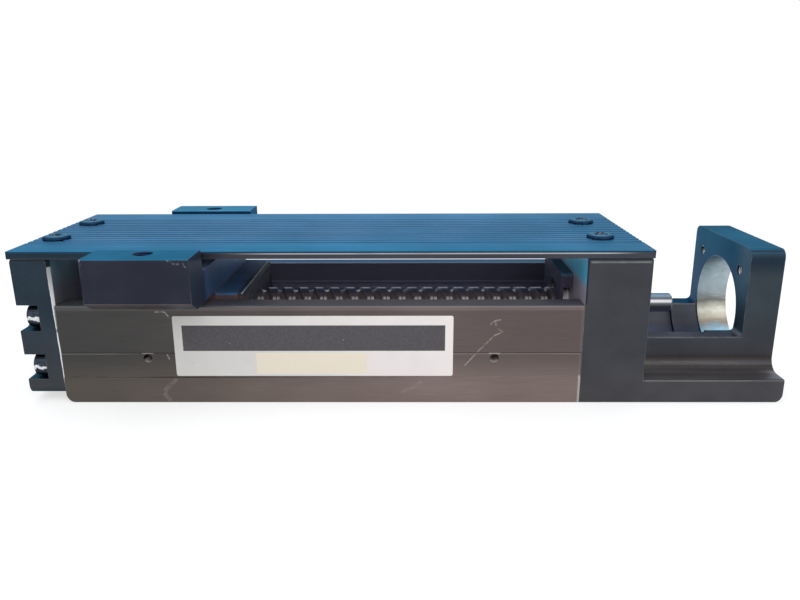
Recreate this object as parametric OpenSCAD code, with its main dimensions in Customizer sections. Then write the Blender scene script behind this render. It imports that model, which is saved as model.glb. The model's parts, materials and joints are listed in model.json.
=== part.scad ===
// Ball screw linear module: a U rail closed by two castings, a ball screw in
// bearings, and a carriage that is nut, guide block and winged table in one.
// X runs along the screw towards the motor end and Z is up. The origin is at
// the middle of the underside.

/* [Rail] */
// Length of the rail between the end castings
rail_len = 150; // [130:1:400]
// Width of the rail over its base band
rail_w = 60; // [58:0.5:66]
// Height of the rail's side walls
rail_h = 29.5; // [28.5:0.1:31]
// Thickness of each side wall
wall_t = 7.25; // [7:0.05:8]
// Thickness of the rail's floor
floor_t = 8.5; // [7.5:0.1:9.5]
// Height of the ground band at the foot of each side
band_h = 7.8; // [5:0.1:11]
// How far the ground band stands proud of the side
band_step = 0.25; // [0.1:0.05:0.5]
// Height of the fine reference line on each side
datum_z = 15.2; // [12:0.1:18]
// Radius of the rail's lower corner at the far end
rail_corner_r = 2.8; // [1:0.1:4]
// Radius of its lower corner against the motor bracket
rail_corner_motor = 0.6; // [0.3:0.1:4]
// Spacing of the base screws along the rail
base_pitch_x = 100; // [60:1:110]
// Spacing of the base screws across the rail
base_pitch_y = 30; // [26:0.5:32]
// Diameter of the base screw holes
base_hole_d = 5.5; // [4.5:0.1:6.6]
// Diameter of the counterbore over each base screw
base_cbore_d = 9.5; // [8:0.1:11]
// Depth of that counterbore
base_cbore_h = 5.4; // [4:0.1:6]
// Diameter of the sensor holes in the rail's sides
side_hole_d = 2.6; // [2:0.1:3.2]
// Height of the sensor holes
side_hole_z = 13.7; // [12.5:0.1:14.5]
// Depth of the sensor holes
side_hole_h = 5; // [3:0.1:5.2]

/* [Linear guide] */
// Diameter of the guide balls
race_ball_d = 3.175; // [2.778:0.001:3.3]
// Middle height of the two rows of guide balls
race_mid_z = 18.4; // [18:0.1:18.8]
// Distance between the two rows
race_pitch = 5.6; // [5:0.1:6]
// Distance from a loaded row to its return hole
race_return = 5; // [4.6:0.1:5.6]
// Guide balls in each straight row
race_count = 8; // [4:1:8]

/* [Ball screw] */
// Outside diameter of the screw
screw_d = 10; // [9:0.1:10.6]
// Travel for each turn of the screw
lead = 10; // [8:0.5:12]
// Number of starts
starts = 2; // [1:1:2]
// Height of the screw's axis
screw_z = 21.8; // [21:0.1:22.4]
// Diameter of the balls in the nut
nut_ball_d = 2; // [1.6:0.1:2.1]
// Balls in each start of the nut
nut_ball_count = 14; // [6:1:16]
// Diameter of the journal in the motor end bearings
motor_journal_d = 8; // [7:0.1:8.4]
// Diameter of the journal in the far bearing
far_journal_d = 6; // [5:0.1:6.4]
// Diameter of the shaft end that takes the coupling
shaft_end_d = 6; // [4:0.1:6.4]
// How far the shaft end reaches past the bearing block
shaft_end_len = 16.5; // [10:0.1:19]

/* [Carriage] */
// Length of the table and of the steel block under it
table_len = 28.3; // [26:0.1:40]
// Width over the table's two wings
table_w = 90.8; // [88:0.1:96]
// Thickness of the table's middle plate
plate_t = 8.7; // [7:0.1:10]
// Gap between the rail's walls and the table
table_gap = 2.2; // [1.6:0.1:3]
// Gap between the table's middle plate and the cover
cover_gap = 3.1; // [2:0.1:4]
// Gap between each wing and the cover's edge
wing_gap = 1.2; // [0.8:0.1:2]
// Height of the wings above the cover
wing_rise = 0.9; // [0.5:0.1:3]
// Depth of the bevel under each wing
wing_bevel_h = 2.7; // [1:0.1:4]
// Width of the bevel under each wing
wing_bevel_w = 4.9; // [2:0.1:5]
// Distance between the threaded holes in the two wings
wing_hole_pitch = 76.4; // [75:0.1:79]
// Diameter of those holes
wing_hole_d = 5; // [4:0.1:5.4]
// Middle of the carriage from the rail's far end, as drawn
carriage_at = 29.6; // [29.2:0.1:60]
// Thickness of the resin end plates
end_plate_t = 6.2; // [5.6:0.1:8]
// Thickness of the end seals
end_seal_t = 2.4; // [1.5:0.1:3]
// Gap between the block and the rail's floor
block_lift = 1.6; // [1:0.1:2.2]
// Side gap between the block and the rail's walls
block_gap = 0.6; // [0.4:0.05:0.8]

/* [End castings] */
// Thickness of the far end casting
far_end_t = 11; // [10.4:0.1:16]
// Height of the far end casting above the base plane
far_end_z = 2.3; // [0.5:0.1:4]
// Length of the bearing block at the motor end
block_t = 18.2; // [17.5:0.1:24]
// Length of the open trough for the coupling
trough_len = 31; // [26:0.5:45]
// Thickness of the motor flange
flange_t = 9.8; // [7:0.1:12]
// Width of the motor flange and the trough
flange_w = 42; // [40:0.5:46]
// Diameter of the flange bore
pilot_d = 30; // [28:0.1:31]
// Pitch circle of the motor screws
motor_pcd = 40; // [38:0.5:44]
// Diameter of the motor screw holes
motor_hole_d = 3; // [2.5:0.1:3.5]
// Height of the trough's side walls
trough_wall_h = 17.2; // [14:0.1:19]
// Radius inside the trough, where the coupling turns
trough_r = 17; // [16:0.1:17.6]
// Thickness of the foot beside the trough
foot_h = 7; // [5:0.1:9]
// Radius of the cove between the foot and the walls
cove_r = 4; // [2:0.1:5]

/* [Bearings and stops] */
// Outside diameter of the motor end bearings
motor_brg_d = 22; // [20:0.1:22.4]
// Width of each motor end bearing
motor_brg_w = 7; // [6:0.1:7.2]
// Outside diameter of the far bearing
far_brg_d = 17; // [15:0.1:17.4]
// Width of the far bearing
far_brg_w = 6; // [5:0.1:6.2]
// Outside diameter of the ring nut behind the bearings
ring_nut_d = 24; // [23:0.1:24.4]
// Thickness of the ring nut
ring_nut_t = 3.2; // [2.4:0.1:3.6]
// Outside diameter of the steel stop ring
stop_ring_d = 25; // [22:0.1:25.6]
// Thickness of the stop ring
stop_ring_t = 2.8; // [2:0.1:4]
// Thickness of the rubber dampers' buffer faces
buffer_t = 0.8; // [0.6:0.1:2]
// Half width of the dampers
damper_half = 13.7; // [13.3:0.1:15]
// Height of the dampers' top above the screw's axis
damper_top = 12.9; // [12.8:0.1:13.5]
// Total thickness of the far damper
far_damper_t = 3.4; // [2.5:0.1:4]

/* [Cover and screws] */
// Thickness of the cover
cover_t = 2.1; // [1.6:0.1:3]
// How far the cover overhangs each side of the rail
cover_over = 2.2; // [1.5:0.1:3]
// Spacing of the fine grooves along the cover
groove_pitch = 3.2; // [2.4:0.1:4]
// Grooves along the cover
groove_count = 13; // [5:2:15]
// Distance between the cover screws across the cover
cover_screw_pitch = 25.8; // [22:0.1:30]
// Distance of the far cover screws from the outer face
cover_screw_far = 6; // [5.4:0.1:7]
// Distance of the near cover screws from the block's face
cover_screw_near = 10.8; // [8:0.1:12]
// Diameter of the cover screws' heads
cover_head_d = 8; // [6:0.1:9]
// Height of the rail screws at both ends
rail_screw_low = 10.9; // [10.5:0.1:11.2]
// Height of the upper rail screws
rail_screw_high = 25.8; // [25.5:0.1:26]
// Diameter of the rail screws
rail_screw_d = 4; // [3:0.1:4.2]

/* [Hidden] */
$fn = 64;
over = 1;             // how far a cutter runs past a face
edge = 0.6;           // broken edges on castings and plates
fit_gap = 0.05;       // radial gap of balls and screws in their holes
run_gap = 0.35;       // radial gap where the screw turns inside a piece
arc_steps = 6;        // straight steps in a rounded corner
turn_steps = 14;      // steps in each turn of the screw's grooves

// Small cuts and skirts
corner_cut = 1.3;       // side of the square that bevels the far casting's inner corners
trough_step_len = 8.7;  // length of the narrower step before the flange
skirt_rise = 8.6;       // height over the screw's axis where the damper's skirt starts
hole_gap = 0.4;         // how much wider a clearance hole is than its screw
head_gap = 0.2;         // how much wider or deeper a counterbore is than its head

// Positions along the module
total_len = far_end_t + rail_len + block_t + trough_len + flange_t;
x_far = -total_len / 2;
x_rail0 = x_far + far_end_t;
x_rail1 = x_rail0 + rail_len;
x_block = x_rail1 + block_t;
x_flange = x_block + trough_len;
x_motor = x_flange + flange_t;
x_base = (x_rail0 + x_rail1) / 2;

// Heights
table_z0 = rail_h + table_gap;
plate_z1 = table_z0 + plate_t;
cover_z0 = plate_z1 + cover_gap;
cover_z1 = cover_z0 + cover_t;
table_z1 = cover_z1 + wing_rise;

// Rail channel and ball rows
channel_half = rail_w / 2 - wall_t;
block_half = channel_half - block_gap;
race_y = channel_half - block_gap / 2;
race_z = [race_mid_z - race_pitch / 2, race_mid_z + race_pitch / 2];
race_r = race_ball_d / 2 + fit_gap;
return_y = race_y - race_return;

// Cover
cover_half = rail_w / 2 + cover_over;
cover_inset = 0.1;
cover_x0 = x_far + cover_inset;
cover_x1 = x_block - cover_inset;
cover_screw_x = [x_far + cover_screw_far, x_block - cover_screw_near];
cover_screw_d = 3;
cover_screw_h = 8;

// Carriage
carriage_x = x_rail0 + carriage_at;
table_x0 = carriage_x - table_len / 2;
table_x1 = carriage_x + table_len / 2;
plate_x = table_len / 2 + end_plate_t;
wing_in = cover_half + wing_gap;
wing_out = table_w / 2;
block_z0 = floor_t + block_lift;
end_plate_drop = 0.8;

// Ball screw grooves: the balls run on a circle a little over the land
groove_gap = 0.15;
pitch_r = screw_d / 2 + 0.25;
groove_r = nut_ball_d / 2 + groove_gap;
lead_angle = atan(lead / (2 * PI * pitch_r));
start_angle = 360 / starts;
land_drop = pitch_r - screw_d / 2;
groove_half = sqrt(groove_r * groove_r - land_drop * land_drop);
groove_angle = groove_half / cos(lead_angle) / lead * 360;
thread_x0 = x_rail0 + far_damper_t + 0.8;
thread_x1 = x_rail1 - stop_ring_t - 0.4;
nut_hole_r = screw_d / 2 + run_gap;

// Bearings at the motor end
brg_x0 = x_rail1 + 2.2;
brg_x1 = brg_x0 + 2 * motor_brg_w;
screw_hole_r = 8.5;
collar_r = 6;
ring_nut_x1 = brg_x1 + ring_nut_t;
ring_nut_hole_r = 8;
lock_nut_t = 4.8;
lock_nut_af = 13;
shaft_x1 = x_block + shaft_end_len;

// Bearing in the far end casting
far_relief = 2.6;
snap_ring_t = 0.8;
snap_gap = 0.3;
far_journal_x0 = x_rail0 - far_brg_w - snap_gap - 2 * snap_ring_t;

// Screws that hold the castings to the rail
rail_screw_y = rail_w / 2 - 4.2;
rail_screw_z = [rail_screw_low, rail_screw_high];
head_d = rail_screw_d * 1.75;
head_slot = 0.35;
rail_thread_h = 8;
far_wall_t = 5;
motor_wall_t = 7;
far_seat_x = x_rail0 - far_wall_t;
motor_seat_x = x_rail1 + motor_wall_t;

// Small screws inside the carriage
table_screw_d = 3;
table_screw_inset = 7.5;
table_screw_x = table_len / 2 - table_screw_inset;
table_screw_y = 13;
table_head_d = 5.5;
table_head_h = 3;
table_key_d = 2.9;
table_thread_h = 6;
plate_screw_d = 2.5;
plate_screw_y = 12.5;
plate_screw_drop = 2.5;
plate_screw_z = rail_h - plate_screw_drop;
plate_head_d = 4.4;
plate_head_h = 1.2;
plate_thread_h = 4.5;

// ---------- helpers ----------

function unit(v) = v / norm(v);
function mirrored(pts) = concat(pts, [for (i = [len(pts) - 1:-1:0]) [-pts[i].x, pts[i].y, pts[i].z]]);

// The arc that rounds the corner b between a and c, with the radius in b.z
function corner(a, b, c) =
    let (p = [b.x, b.y], u = unit([a.x, a.y] - p), v = unit([c.x, c.y] - p))
    let (half = acos(u * v) / 2, centre = p + unit(u + v) * b.z / sin(half))
    let (s = p + u * b.z / tan(half) - centre, turn = sign(cross(v, u)) * (180 - 2 * half))
    [for (i = [0:arc_steps]) let (t = atan2(s.y, s.x) + turn * i / arc_steps)
        centre + b.z * [cos(t), sin(t)]];

// A polygon from [x, y, radius] points that run anticlockwise
module rounded(pts) {
    n = len(pts);
    polygon([
        for (i = [0:n - 1])
            each (pts[i].z > 0 ? corner(pts[(i + n - 1) % n], pts[i], pts[(i + 1) % n])
                               : [[pts[i].x, pts[i].y]])
    ]);
}

// Draws a Y-Z outline from x0 to x1
module along_x(x0, x1) {
    translate([x0, 0, 0]) rotate([90, 0, 90]) linear_extrude(x1 - x0) children();
}

// Draws an X-Z outline from y0 to y1
module along_y(y0, y1) {
    translate([0, y1, 0]) rotate([90, 0, 0]) linear_extrude(y1 - y0) children();
}

module rod_x(d, x0, x1, y = 0, z = 0) {
    translate([x0, y, z]) rotate([0, 90, 0]) cylinder(d = d, h = x1 - x0);
}

module ring_x(d, hole, x0, x1) {
    difference() {
        rod_x(d, x0, x1, 0, screw_z);
        rod_x(hole, x0 - over, x1 + over, 0, screw_z);
    }
}

// Turns [x, radius] points about the screw's axis
module turned(pts) {
    translate([0, 0, screw_z]) rotate([0, 90, 0]) rotate_extrude()
        polygon([for (p = pts) [p[1], p[0]]]);
}

module torus_x(x, r, tube_r) {
    translate([x, 0, screw_z]) rotate([0, 90, 0]) rotate_extrude()
        translate([r, 0]) circle(tube_r);
}

module both_sides() {
    children();
    mirror([0, 1, 0]) children();
}

// Socket head cap screw with its head towards -X
module cap_screw_x(d, length) {
    difference() {
        union() {
            rod_x(1.75 * d, -d, 0);
            rod_x(d - 2 * fit_gap, -over / 2, length);
        }
        translate([-d - over, 0, 0]) rotate([0, 90, 0])
            cylinder(d = 0.87 * d, h = over + d / 2, $fn = 6);
    }
}

// ---------- rail ----------

module rail_profile() {
    half = rail_w / 2;
    top_half = half - band_step;
    difference() {
        rounded(mirrored([
            [half, 0, 0.4],
            [half, band_h, 0],
            [top_half, band_h + band_step, 0],
            [top_half, rail_h, edge],
            [channel_half, rail_h, edge],
            [channel_half, floor_t, edge]
        ]));
        for (s = [-1, 1]) {
            for (z = race_z) translate([s * race_y, z]) circle(race_r);
            translate([s * top_half, datum_z]) rotate(45) square(0.35, center = true);
        }
    }
}

module end_outline() {
    rounded([
        [x_rail0, 0, rail_corner_r],
        [x_rail1, 0, rail_corner_motor],
        [x_rail1, rail_h + over, 0],
        [x_rail0, rail_h + over, 0]
    ]);
}

module outer_rail() {
    color("slategray") difference() {
        intersection() {
            along_x(x_rail0, x_rail1) rail_profile();
            along_y(-rail_w / 2 - over, rail_w / 2 + over) end_outline();
        }
        for (x = [-1, 1], y = [-1, 1])
            translate([x_base + x * base_pitch_x / 2, y * base_pitch_y / 2, 0]) {
                translate([0, 0, -over]) cylinder(d = base_hole_d, h = floor_t + 2 * over);
                translate([0, 0, floor_t - base_cbore_h])
                    cylinder(d = base_cbore_d, h = base_cbore_h + over);
            }
        for (x = [-1, 1])
            both_sides() translate([x_base + x * base_pitch_x / 2, rail_w / 2 - side_hole_h, side_hole_z])
                rotate([-90, 0, 0]) cylinder(d = side_hole_d, h = side_hole_h + over);
        for (z = rail_screw_z) both_sides() {
            rod_x(rail_screw_d, x_rail0 - over, x_rail0 + rail_thread_h + over, rail_screw_y, z);
            rod_x(rail_screw_d, x_rail1 - rail_thread_h - over, x_rail1 + over, rail_screw_y, z);
        }
    }
}

// ---------- castings ----------

module far_end_outline() {
    top_half = rail_w / 2 + 0.1;
    foot_half = rail_w / 2 - 1.1;
    rounded(mirrored([
        [foot_half, far_end_z, 2.5],
        [top_half, cover_z0, edge]
    ]));
}

// A counterbore for a rail screw that is open to the casting's side
module side_notch(z) {
    r = head_d / 2 + head_slot;
    rod_x(2 * r, x_far - over, far_seat_x, rail_screw_y, z);
    translate([x_far - over, rail_screw_y, z - r])
        cube([far_seat_x - x_far + over, rail_w / 2 - rail_screw_y + over, 2 * r]);
}

module far_end_casting() {
    color("dimgray") difference() {
        intersection() {
            along_x(x_far, x_rail0) far_end_outline();
            along_y(-rail_w, rail_w) rounded([
                [x_far, 0, 0],
                [x_rail0, 0, 0],
                [x_rail0, cover_z0, 0],
                [x_far, cover_z0, 1.5]
            ]);
        }
        both_sides() translate([x_rail0, rail_w / 2, -over]) rotate([0, 0, 45])
            cube([corner_cut, corner_cut, 3 * cover_z0], center = true);
        for (z = rail_screw_z) both_sides() {
            side_notch(z);
            rod_x(rail_screw_d + hole_gap, x_far - over, x_rail0 + over, rail_screw_y, z);
        }
        rod_x(far_brg_d, x_rail0 - far_brg_w, x_rail0 + over, 0, screw_z);
        rod_x(far_brg_d - 4, x_rail0 - far_brg_w - far_relief, x_rail0, 0, screw_z);
        for (y = [-1, 1]) cover_screw_hole(cover_screw_x[0], y * cover_screw_pitch / 2);
    }
}

module cover_screw_hole(x, y) {
    translate([x, y, cover_z0 - cover_screw_h]) cylinder(d = cover_screw_d, h = cover_screw_h + over);
}

// Section through the flange: a narrow wall on a wide foot, with coves
module flange_outline() {
    half = flange_w / 2;
    difference() {
        union() {
            rounded(mirrored([
                [rail_w / 2, 0, 0.4],
                [rail_w / 2, foot_h, edge]
            ]));
            rounded(mirrored([
                [half, 1, 0],
                [half, cover_z0 - 0.1, 2.5]
            ]));
            both_sides_2d() translate([half - over, foot_h - over]) square(cove_r + over);
        }
        both_sides_2d() translate([half + cove_r, foot_h + cove_r]) circle(cove_r);
    }
}

module both_sides_2d() {
    children();
    mirror([1, 0]) children();
}

module motor_bracket_body() {
    intersection() {
        along_x(x_rail1, x_block) rounded(mirrored([
            [rail_w / 2, 0, 0.4],
            [rail_w / 2, cover_z0, edge]
        ]));
        along_y(-rail_w, rail_w) rounded([
            [x_rail1, -over, 0],
            [x_block, -over, 0],
            [x_block, cover_z0, 1.2],
            [x_rail1, cover_z0, 0]
        ]);
    }
    difference() {
        intersection() {
            along_x(x_block - over, x_motor) flange_outline();
            along_y(-rail_w, rail_w) rounded([
                [x_block - over, 0, 0],
                [x_motor, 0, 2.5],
                [x_motor, cover_z0 + over, 0],
                [x_block - over, cover_z0 + over, 0]
            ]);
        }
        along_y(-rail_w, rail_w) rounded([
            [x_block, trough_wall_h, 1.5],
            [x_flange, trough_wall_h, 1.5],
            [x_flange, cover_z0 + over, 0],
            [x_block, cover_z0 + over, 0]
        ]);
    }
}

// The coupling's space: rounded at the bearing block, stepped in before the flange
module trough_space() {
    neck_r = ring_nut_d / 2 + 0.1;
    swell = trough_r - neck_r;
    step_x = x_flange - trough_step_len;
    step_r = pilot_d / 2 + 0.5;
    turned(concat(
        [[x_block, 0], [x_block, neck_r]],
        [for (a = [15:15:90]) [x_block + swell * sin(a), neck_r + swell * (1 - cos(a))]],
        [[step_x, trough_r], [step_x, step_r], [x_flange, step_r], [x_flange, 0]]
    ));
}

module motor_bracket() {
    color("dimgray") difference() {
        motor_bracket_body();
        trough_space();
        rod_x(pilot_d, x_flange - over, x_motor + over, 0, screw_z);
        rod_x(2 * screw_hole_r, x_rail1 - over, x_block, 0, screw_z);
        rod_x(motor_brg_d, brg_x0, x_block + over, 0, screw_z);
        rod_x(ring_nut_d, brg_x1, x_block + over, 0, screw_z);
        for (a = [45:90:315]) rotate_at_screw(a)
            rod_x(motor_hole_d, x_flange - 0.5, x_motor + over, 0, motor_pcd / 2);
        for (z = rail_screw_z) both_sides() {
            rod_x(rail_screw_d + hole_gap, x_rail1 - over, x_block, rail_screw_y, z);
            rod_x(head_d + head_gap, motor_seat_x, x_block + over, rail_screw_y, z);
        }
        for (y = [-1, 1]) cover_screw_hole(cover_screw_x[1], y * cover_screw_pitch / 2);
    }
}

module rotate_at_screw(a) {
    translate([0, 0, screw_z]) rotate([a, 0, 0]) children();
}

// ---------- cover and fasteners ----------

module top_cover() {
    groove_d = 1.6;
    groove_depth = 0.3;
    color("steelblue") difference() {
        intersection() {
            along_x(cover_x0, cover_x1) rounded(mirrored([
                [cover_half, cover_z0, 0.5],
                [cover_half, cover_z1, 0.5]
            ]));
            translate([0, 0, cover_z0 - over]) linear_extrude(cover_t + 2 * over) rounded([
                [cover_x0, -cover_half, 1],
                [cover_x1, -cover_half, 1],
                [cover_x1, cover_half, 1],
                [cover_x0, cover_half, 1]
            ]);
        }
        for (i = [0:groove_count - 1])
            rod_x(groove_d, cover_x0 - over, cover_x1 + over,
                (i - (groove_count - 1) / 2) * groove_pitch, cover_z1 + groove_d / 2 - groove_depth);
        for (x = cover_screw_x, y = [-1, 1])
            translate([x, y * cover_screw_pitch / 2, cover_z0 - over])
                cylinder(d = cover_screw_d + hole_gap, h = cover_t + 2 * over);
    }
}

// Truss head screw with a cross recess
module truss_screw() {
    head_rise = 1.5;
    dome_r = (cover_head_d * cover_head_d / 4 + head_rise * head_rise) / (2 * head_rise);
    difference() {
        union() {
            intersection() {
                cylinder(d = cover_head_d, h = head_rise);
                translate([0, 0, head_rise - dome_r]) sphere(dome_r);
            }
            translate([0, 0, 1 - cover_screw_h])
                cylinder(d = cover_screw_d - 2 * fit_gap, h = cover_screw_h);
        }
        for (a = [0, 90]) rotate([0, 0, a])
            translate([-2.1, -0.4, 0.5]) cube([4.2, 0.8, head_rise]);
    }
}

module cover_screws() {
    color("gray") for (x = cover_screw_x, y = [-1, 1])
        translate([x, y * cover_screw_pitch / 2, cover_z1]) truss_screw();
}

module rail_screws_far_end() {
    color("darkslategray") for (z = rail_screw_z) both_sides()
        translate([far_seat_x, rail_screw_y, z])
            cap_screw_x(rail_screw_d, x_rail0 - far_seat_x + rail_thread_h);
}

module rail_screws_motor_end() {
    color("darkslategray") for (z = rail_screw_z) both_sides()
        translate([motor_seat_x, rail_screw_y, z]) mirror([1, 0, 0])
            cap_screw_x(rail_screw_d, motor_seat_x - x_rail1 + rail_thread_h);
}

// ---------- stops ----------

module damper_outline() {
    rounded(mirrored([
        [damper_half, screw_z - damper_top, 1.5],
        [damper_half, screw_z + damper_top, 1.5]
    ]));
}

module stop_ring() {
    color("silver") difference() {
        ring_x(stop_ring_d, 2 * screw_hole_r, x_rail1 - stop_ring_t, x_rail1);
        torus_x(x_rail1 - 0.6, stop_ring_d / 2, 0.2);
    }
}

// A rubber cap that hangs over the stop ring, with its buffer towards the carriage
module motor_end_damper() {
    x0 = x_rail1 - stop_ring_t - buffer_t;
    skirt_z = screw_z + skirt_rise;
    color("black") difference() {
        union() {
            along_x(x0, x_rail1 - stop_ring_t) damper_outline();
            intersection() {
                along_x(x0, x_rail1) damper_outline();
                translate([x0, -damper_half, skirt_z]) cube([x_rail1 - x0, 2 * damper_half, damper_top]);
            }
        }
        rod_x(stop_ring_d, x_rail1 - stop_ring_t, x_rail1 + over, 0, screw_z);
        rod_x(2 * screw_hole_r, x0 - over, x_rail1, 0, screw_z);
    }
}

module far_end_damper() {
    color("black") difference() {
        along_x(x_rail0, x_rail0 + far_damper_t) damper_outline();
        rod_x(far_brg_d - 4, x_rail0 - over, x_rail0 + far_damper_t + over, 0, screw_z);
    }
}

// ---------- bearings ----------

// Ball bearing between x0 and x0 + w, drawn in three parts
function ball_r(od, id) = (od - id) / 8;
function cage_r(od, id) = (od + id) / 4;

module bearing_outer(x0, w, od, id) {
    difference() {
        ring_x(od, 2 * cage_r(od, id) + 1.4 * ball_r(od, id), x0, x0 + w);
        torus_x(x0 + w / 2, cage_r(od, id), ball_r(od, id) + fit_gap);
    }
}

module bearing_inner(x0, w, od, id) {
    difference() {
        ring_x(2 * cage_r(od, id) - 1.4 * ball_r(od, id), id, x0, x0 + w);
        torus_x(x0 + w / 2, cage_r(od, id), ball_r(od, id) + fit_gap);
    }
}

module bearing_balls(x0, w, od, id, count) {
    for (i = [0:count - 1]) rotate_at_screw(360 * i / count)
        translate([x0 + w / 2, 0, cage_r(od, id)]) sphere(ball_r(od, id));
}

module motor_bearing_outer_rings() {
    color("lightgray") for (i = [0, 1])
        bearing_outer(brg_x0 + i * motor_brg_w, motor_brg_w, motor_brg_d, motor_journal_d);
}

module motor_bearing_inner_rings() {
    color("lightgray") for (i = [0, 1])
        bearing_inner(brg_x0 + i * motor_brg_w, motor_brg_w, motor_brg_d, motor_journal_d);
}

module motor_bearing_balls() {
    color("white") for (i = [0, 1])
        bearing_balls(brg_x0 + i * motor_brg_w, motor_brg_w, motor_brg_d, motor_journal_d, 9);
}

module far_bearing_outer_ring() {
    color("lightgray") bearing_outer(x_rail0 - far_brg_w, far_brg_w, far_brg_d, far_journal_d);
}

module far_bearing_inner_ring() {
    color("lightgray") bearing_inner(x_rail0 - far_brg_w, far_brg_w, far_brg_d, far_journal_d);
}

module far_bearing_balls() {
    color("white") bearing_balls(x_rail0 - far_brg_w, far_brg_w, far_brg_d, far_journal_d, 8);
}

// Threaded ring that locks the outer rings, with two spanner slots
module bearing_ring_nut() {
    slot = 2.4;
    color("darkgray") difference() {
        ring_x(ring_nut_d - 2 * fit_gap, 2 * ring_nut_hole_r, brg_x1, ring_nut_x1);
        translate([ring_nut_x1 - 0.8, -slot / 2, screw_z - ring_nut_d])
            cube([over + 0.8, slot, 2 * ring_nut_d]);
    }
}

// ---------- carriage ----------

module table_outline() {
    fillet = 1.8;
    rounded(mirrored([
        [wing_out - wing_bevel_w, table_z0, 0.5],
        [wing_out, table_z0 + wing_bevel_h, 0.5],
        [wing_out, table_z1, 0.5],
        [wing_in, table_z1, 0.4],
        [wing_in, plate_z1, fillet]
    ]));
}

module sub_table() {
    countersink = 0.35;
    color("dimgray") difference() {
        along_x(table_x0, table_x1) table_outline();
        for (y = [-1, 1]) translate([carriage_x, y * wing_hole_pitch / 2, 0]) {
            translate([0, 0, table_z0 - over]) cylinder(d = wing_hole_d, h = table_z1);
            translate([0, 0, table_z1 - countersink])
                cylinder(d1 = wing_hole_d, d2 = wing_hole_d + 2 * (countersink + over),
                    h = countersink + over);
        }
        at_table_screws() {
            translate([0, 0, table_z0 - over])
                cylinder(d = table_screw_d + hole_gap, h = plate_t + 2 * over);
            translate([0, 0, plate_z1 - table_head_h - head_gap])
                cylinder(d = table_head_d + hole_gap, h = table_head_h + over);
        }
    }
}

module at_table_screws() {
    for (x = [-1, 1], y = [-1, 1])
        translate([carriage_x + x * table_screw_x, y * table_screw_y, 0]) children();
}

module table_screws() {
    seat = plate_z1 - table_head_h - head_gap;
    color("darkslategray") at_table_screws() translate([0, 0, seat]) difference() {
        union() {
            cylinder(d = table_head_d, h = table_head_h);
            translate([0, 0, table_z0 - seat - table_thread_h])
                cylinder(d = table_screw_d - 2 * fit_gap, h = seat - table_z0 + table_thread_h + 0.5);
        }
        translate([0, 0, table_head_h / 2]) cylinder(d = table_key_d, h = table_head_h, $fn = 6);
    }
}

// Section of the block: it fills the channel between the rail's walls
module block_outline(shrink, top) {
    half = block_half - shrink;
    rounded(mirrored([
        [half, block_z0 + shrink, 1],
        [half, rail_h - 1, 0],
        [half - 0.7, rail_h + 0.5, 0],
        [half - 0.7, top, edge]
    ]));
}

// Outline across the screw, with a ball groove for each start.
// side = -1 cuts grooves into the screw, side = 1 cuts them into the nut.
function groove_point(a, land, side) =
    let (n = a / 360 * lead * cos(lead_angle))
    let (r = abs(n) < groove_r ? pitch_r + side * sqrt(groove_r * groove_r - n * n) : land)
    side < 0 ? min(r, land) : max(r, land);

module groove_outline(land, side) {
    edge_a = min(groove_angle, start_angle / 2 - 5);
    offsets = concat(
        [for (i = [-3:3]) edge_a * i / 3],
        [for (i = [1:3]) edge_a + (start_angle - 2 * edge_a) * i / 4]
    );
    polygon([
        for (s = [0:starts - 1], a = offsets)
            let (r = a > edge_a ? land : groove_point(a, land, side), t = a + s * start_angle)
                r * [cos(t), sin(t)]
    ]);
}

// Right-hand thread between x0 and x1, in step with the whole screw
module ball_thread(x0, x1, land, side) {
    turns = (x1 - x0) / lead;
    translate([x0, 0, screw_z]) rotate([0, 90, 0]) rotate([0, 0, helix_angle(x0)])
        linear_extrude(x1 - x0, twist = -360 * turns, slices = ceil(turns * turn_steps), segments = 0)
            groove_outline(land, side);
}

function helix_angle(x) = 360 * (x - thread_x0) / lead;

module nut_block() {
    color("silver") difference() {
        along_x(table_x0, table_x1) block_outline(0, table_z0);
        ball_thread(table_x0 - over, table_x1 + over, nut_hole_r, 1);
        for (z = race_z) both_sides() {
            rod_x(2 * race_r, table_x0 - over, table_x1 + over, race_y, z);
            rod_x(2 * race_r, table_x0 - over, table_x1 + over, return_y, z);
        }
        at_table_screws() translate([0, 0, table_z0 - table_thread_h - over])
            cylinder(d = table_screw_d, h = table_thread_h + 2 * over);
        both_sides() rod_x(plate_screw_d, table_x0 - over, table_x0 + plate_thread_h + over,
            plate_screw_y, plate_screw_z);
        both_sides() rod_x(plate_screw_d, table_x1 - plate_thread_h - over, table_x1 + over,
            plate_screw_y, plate_screw_z);
    }
}

// End plate against the block's face: the balls turn round in its half-ring pockets
module end_plate() {
    x = table_len / 2;
    turn_r = race_return / 2;
    difference() {
        along_x(x, plate_x) block_outline(0.25, table_z0 - end_plate_drop);
        rod_x(2 * nut_hole_r, x - over, plate_x + over, 0, screw_z);
        for (z = race_z) both_sides() translate([x, race_y - turn_r, z])
            rotate_extrude() translate([turn_r, 0]) circle(race_r);
        both_sides() rod_x(plate_screw_d + 0.3, x - over, plate_x + over, plate_screw_y, plate_screw_z);
    }
}

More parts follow.
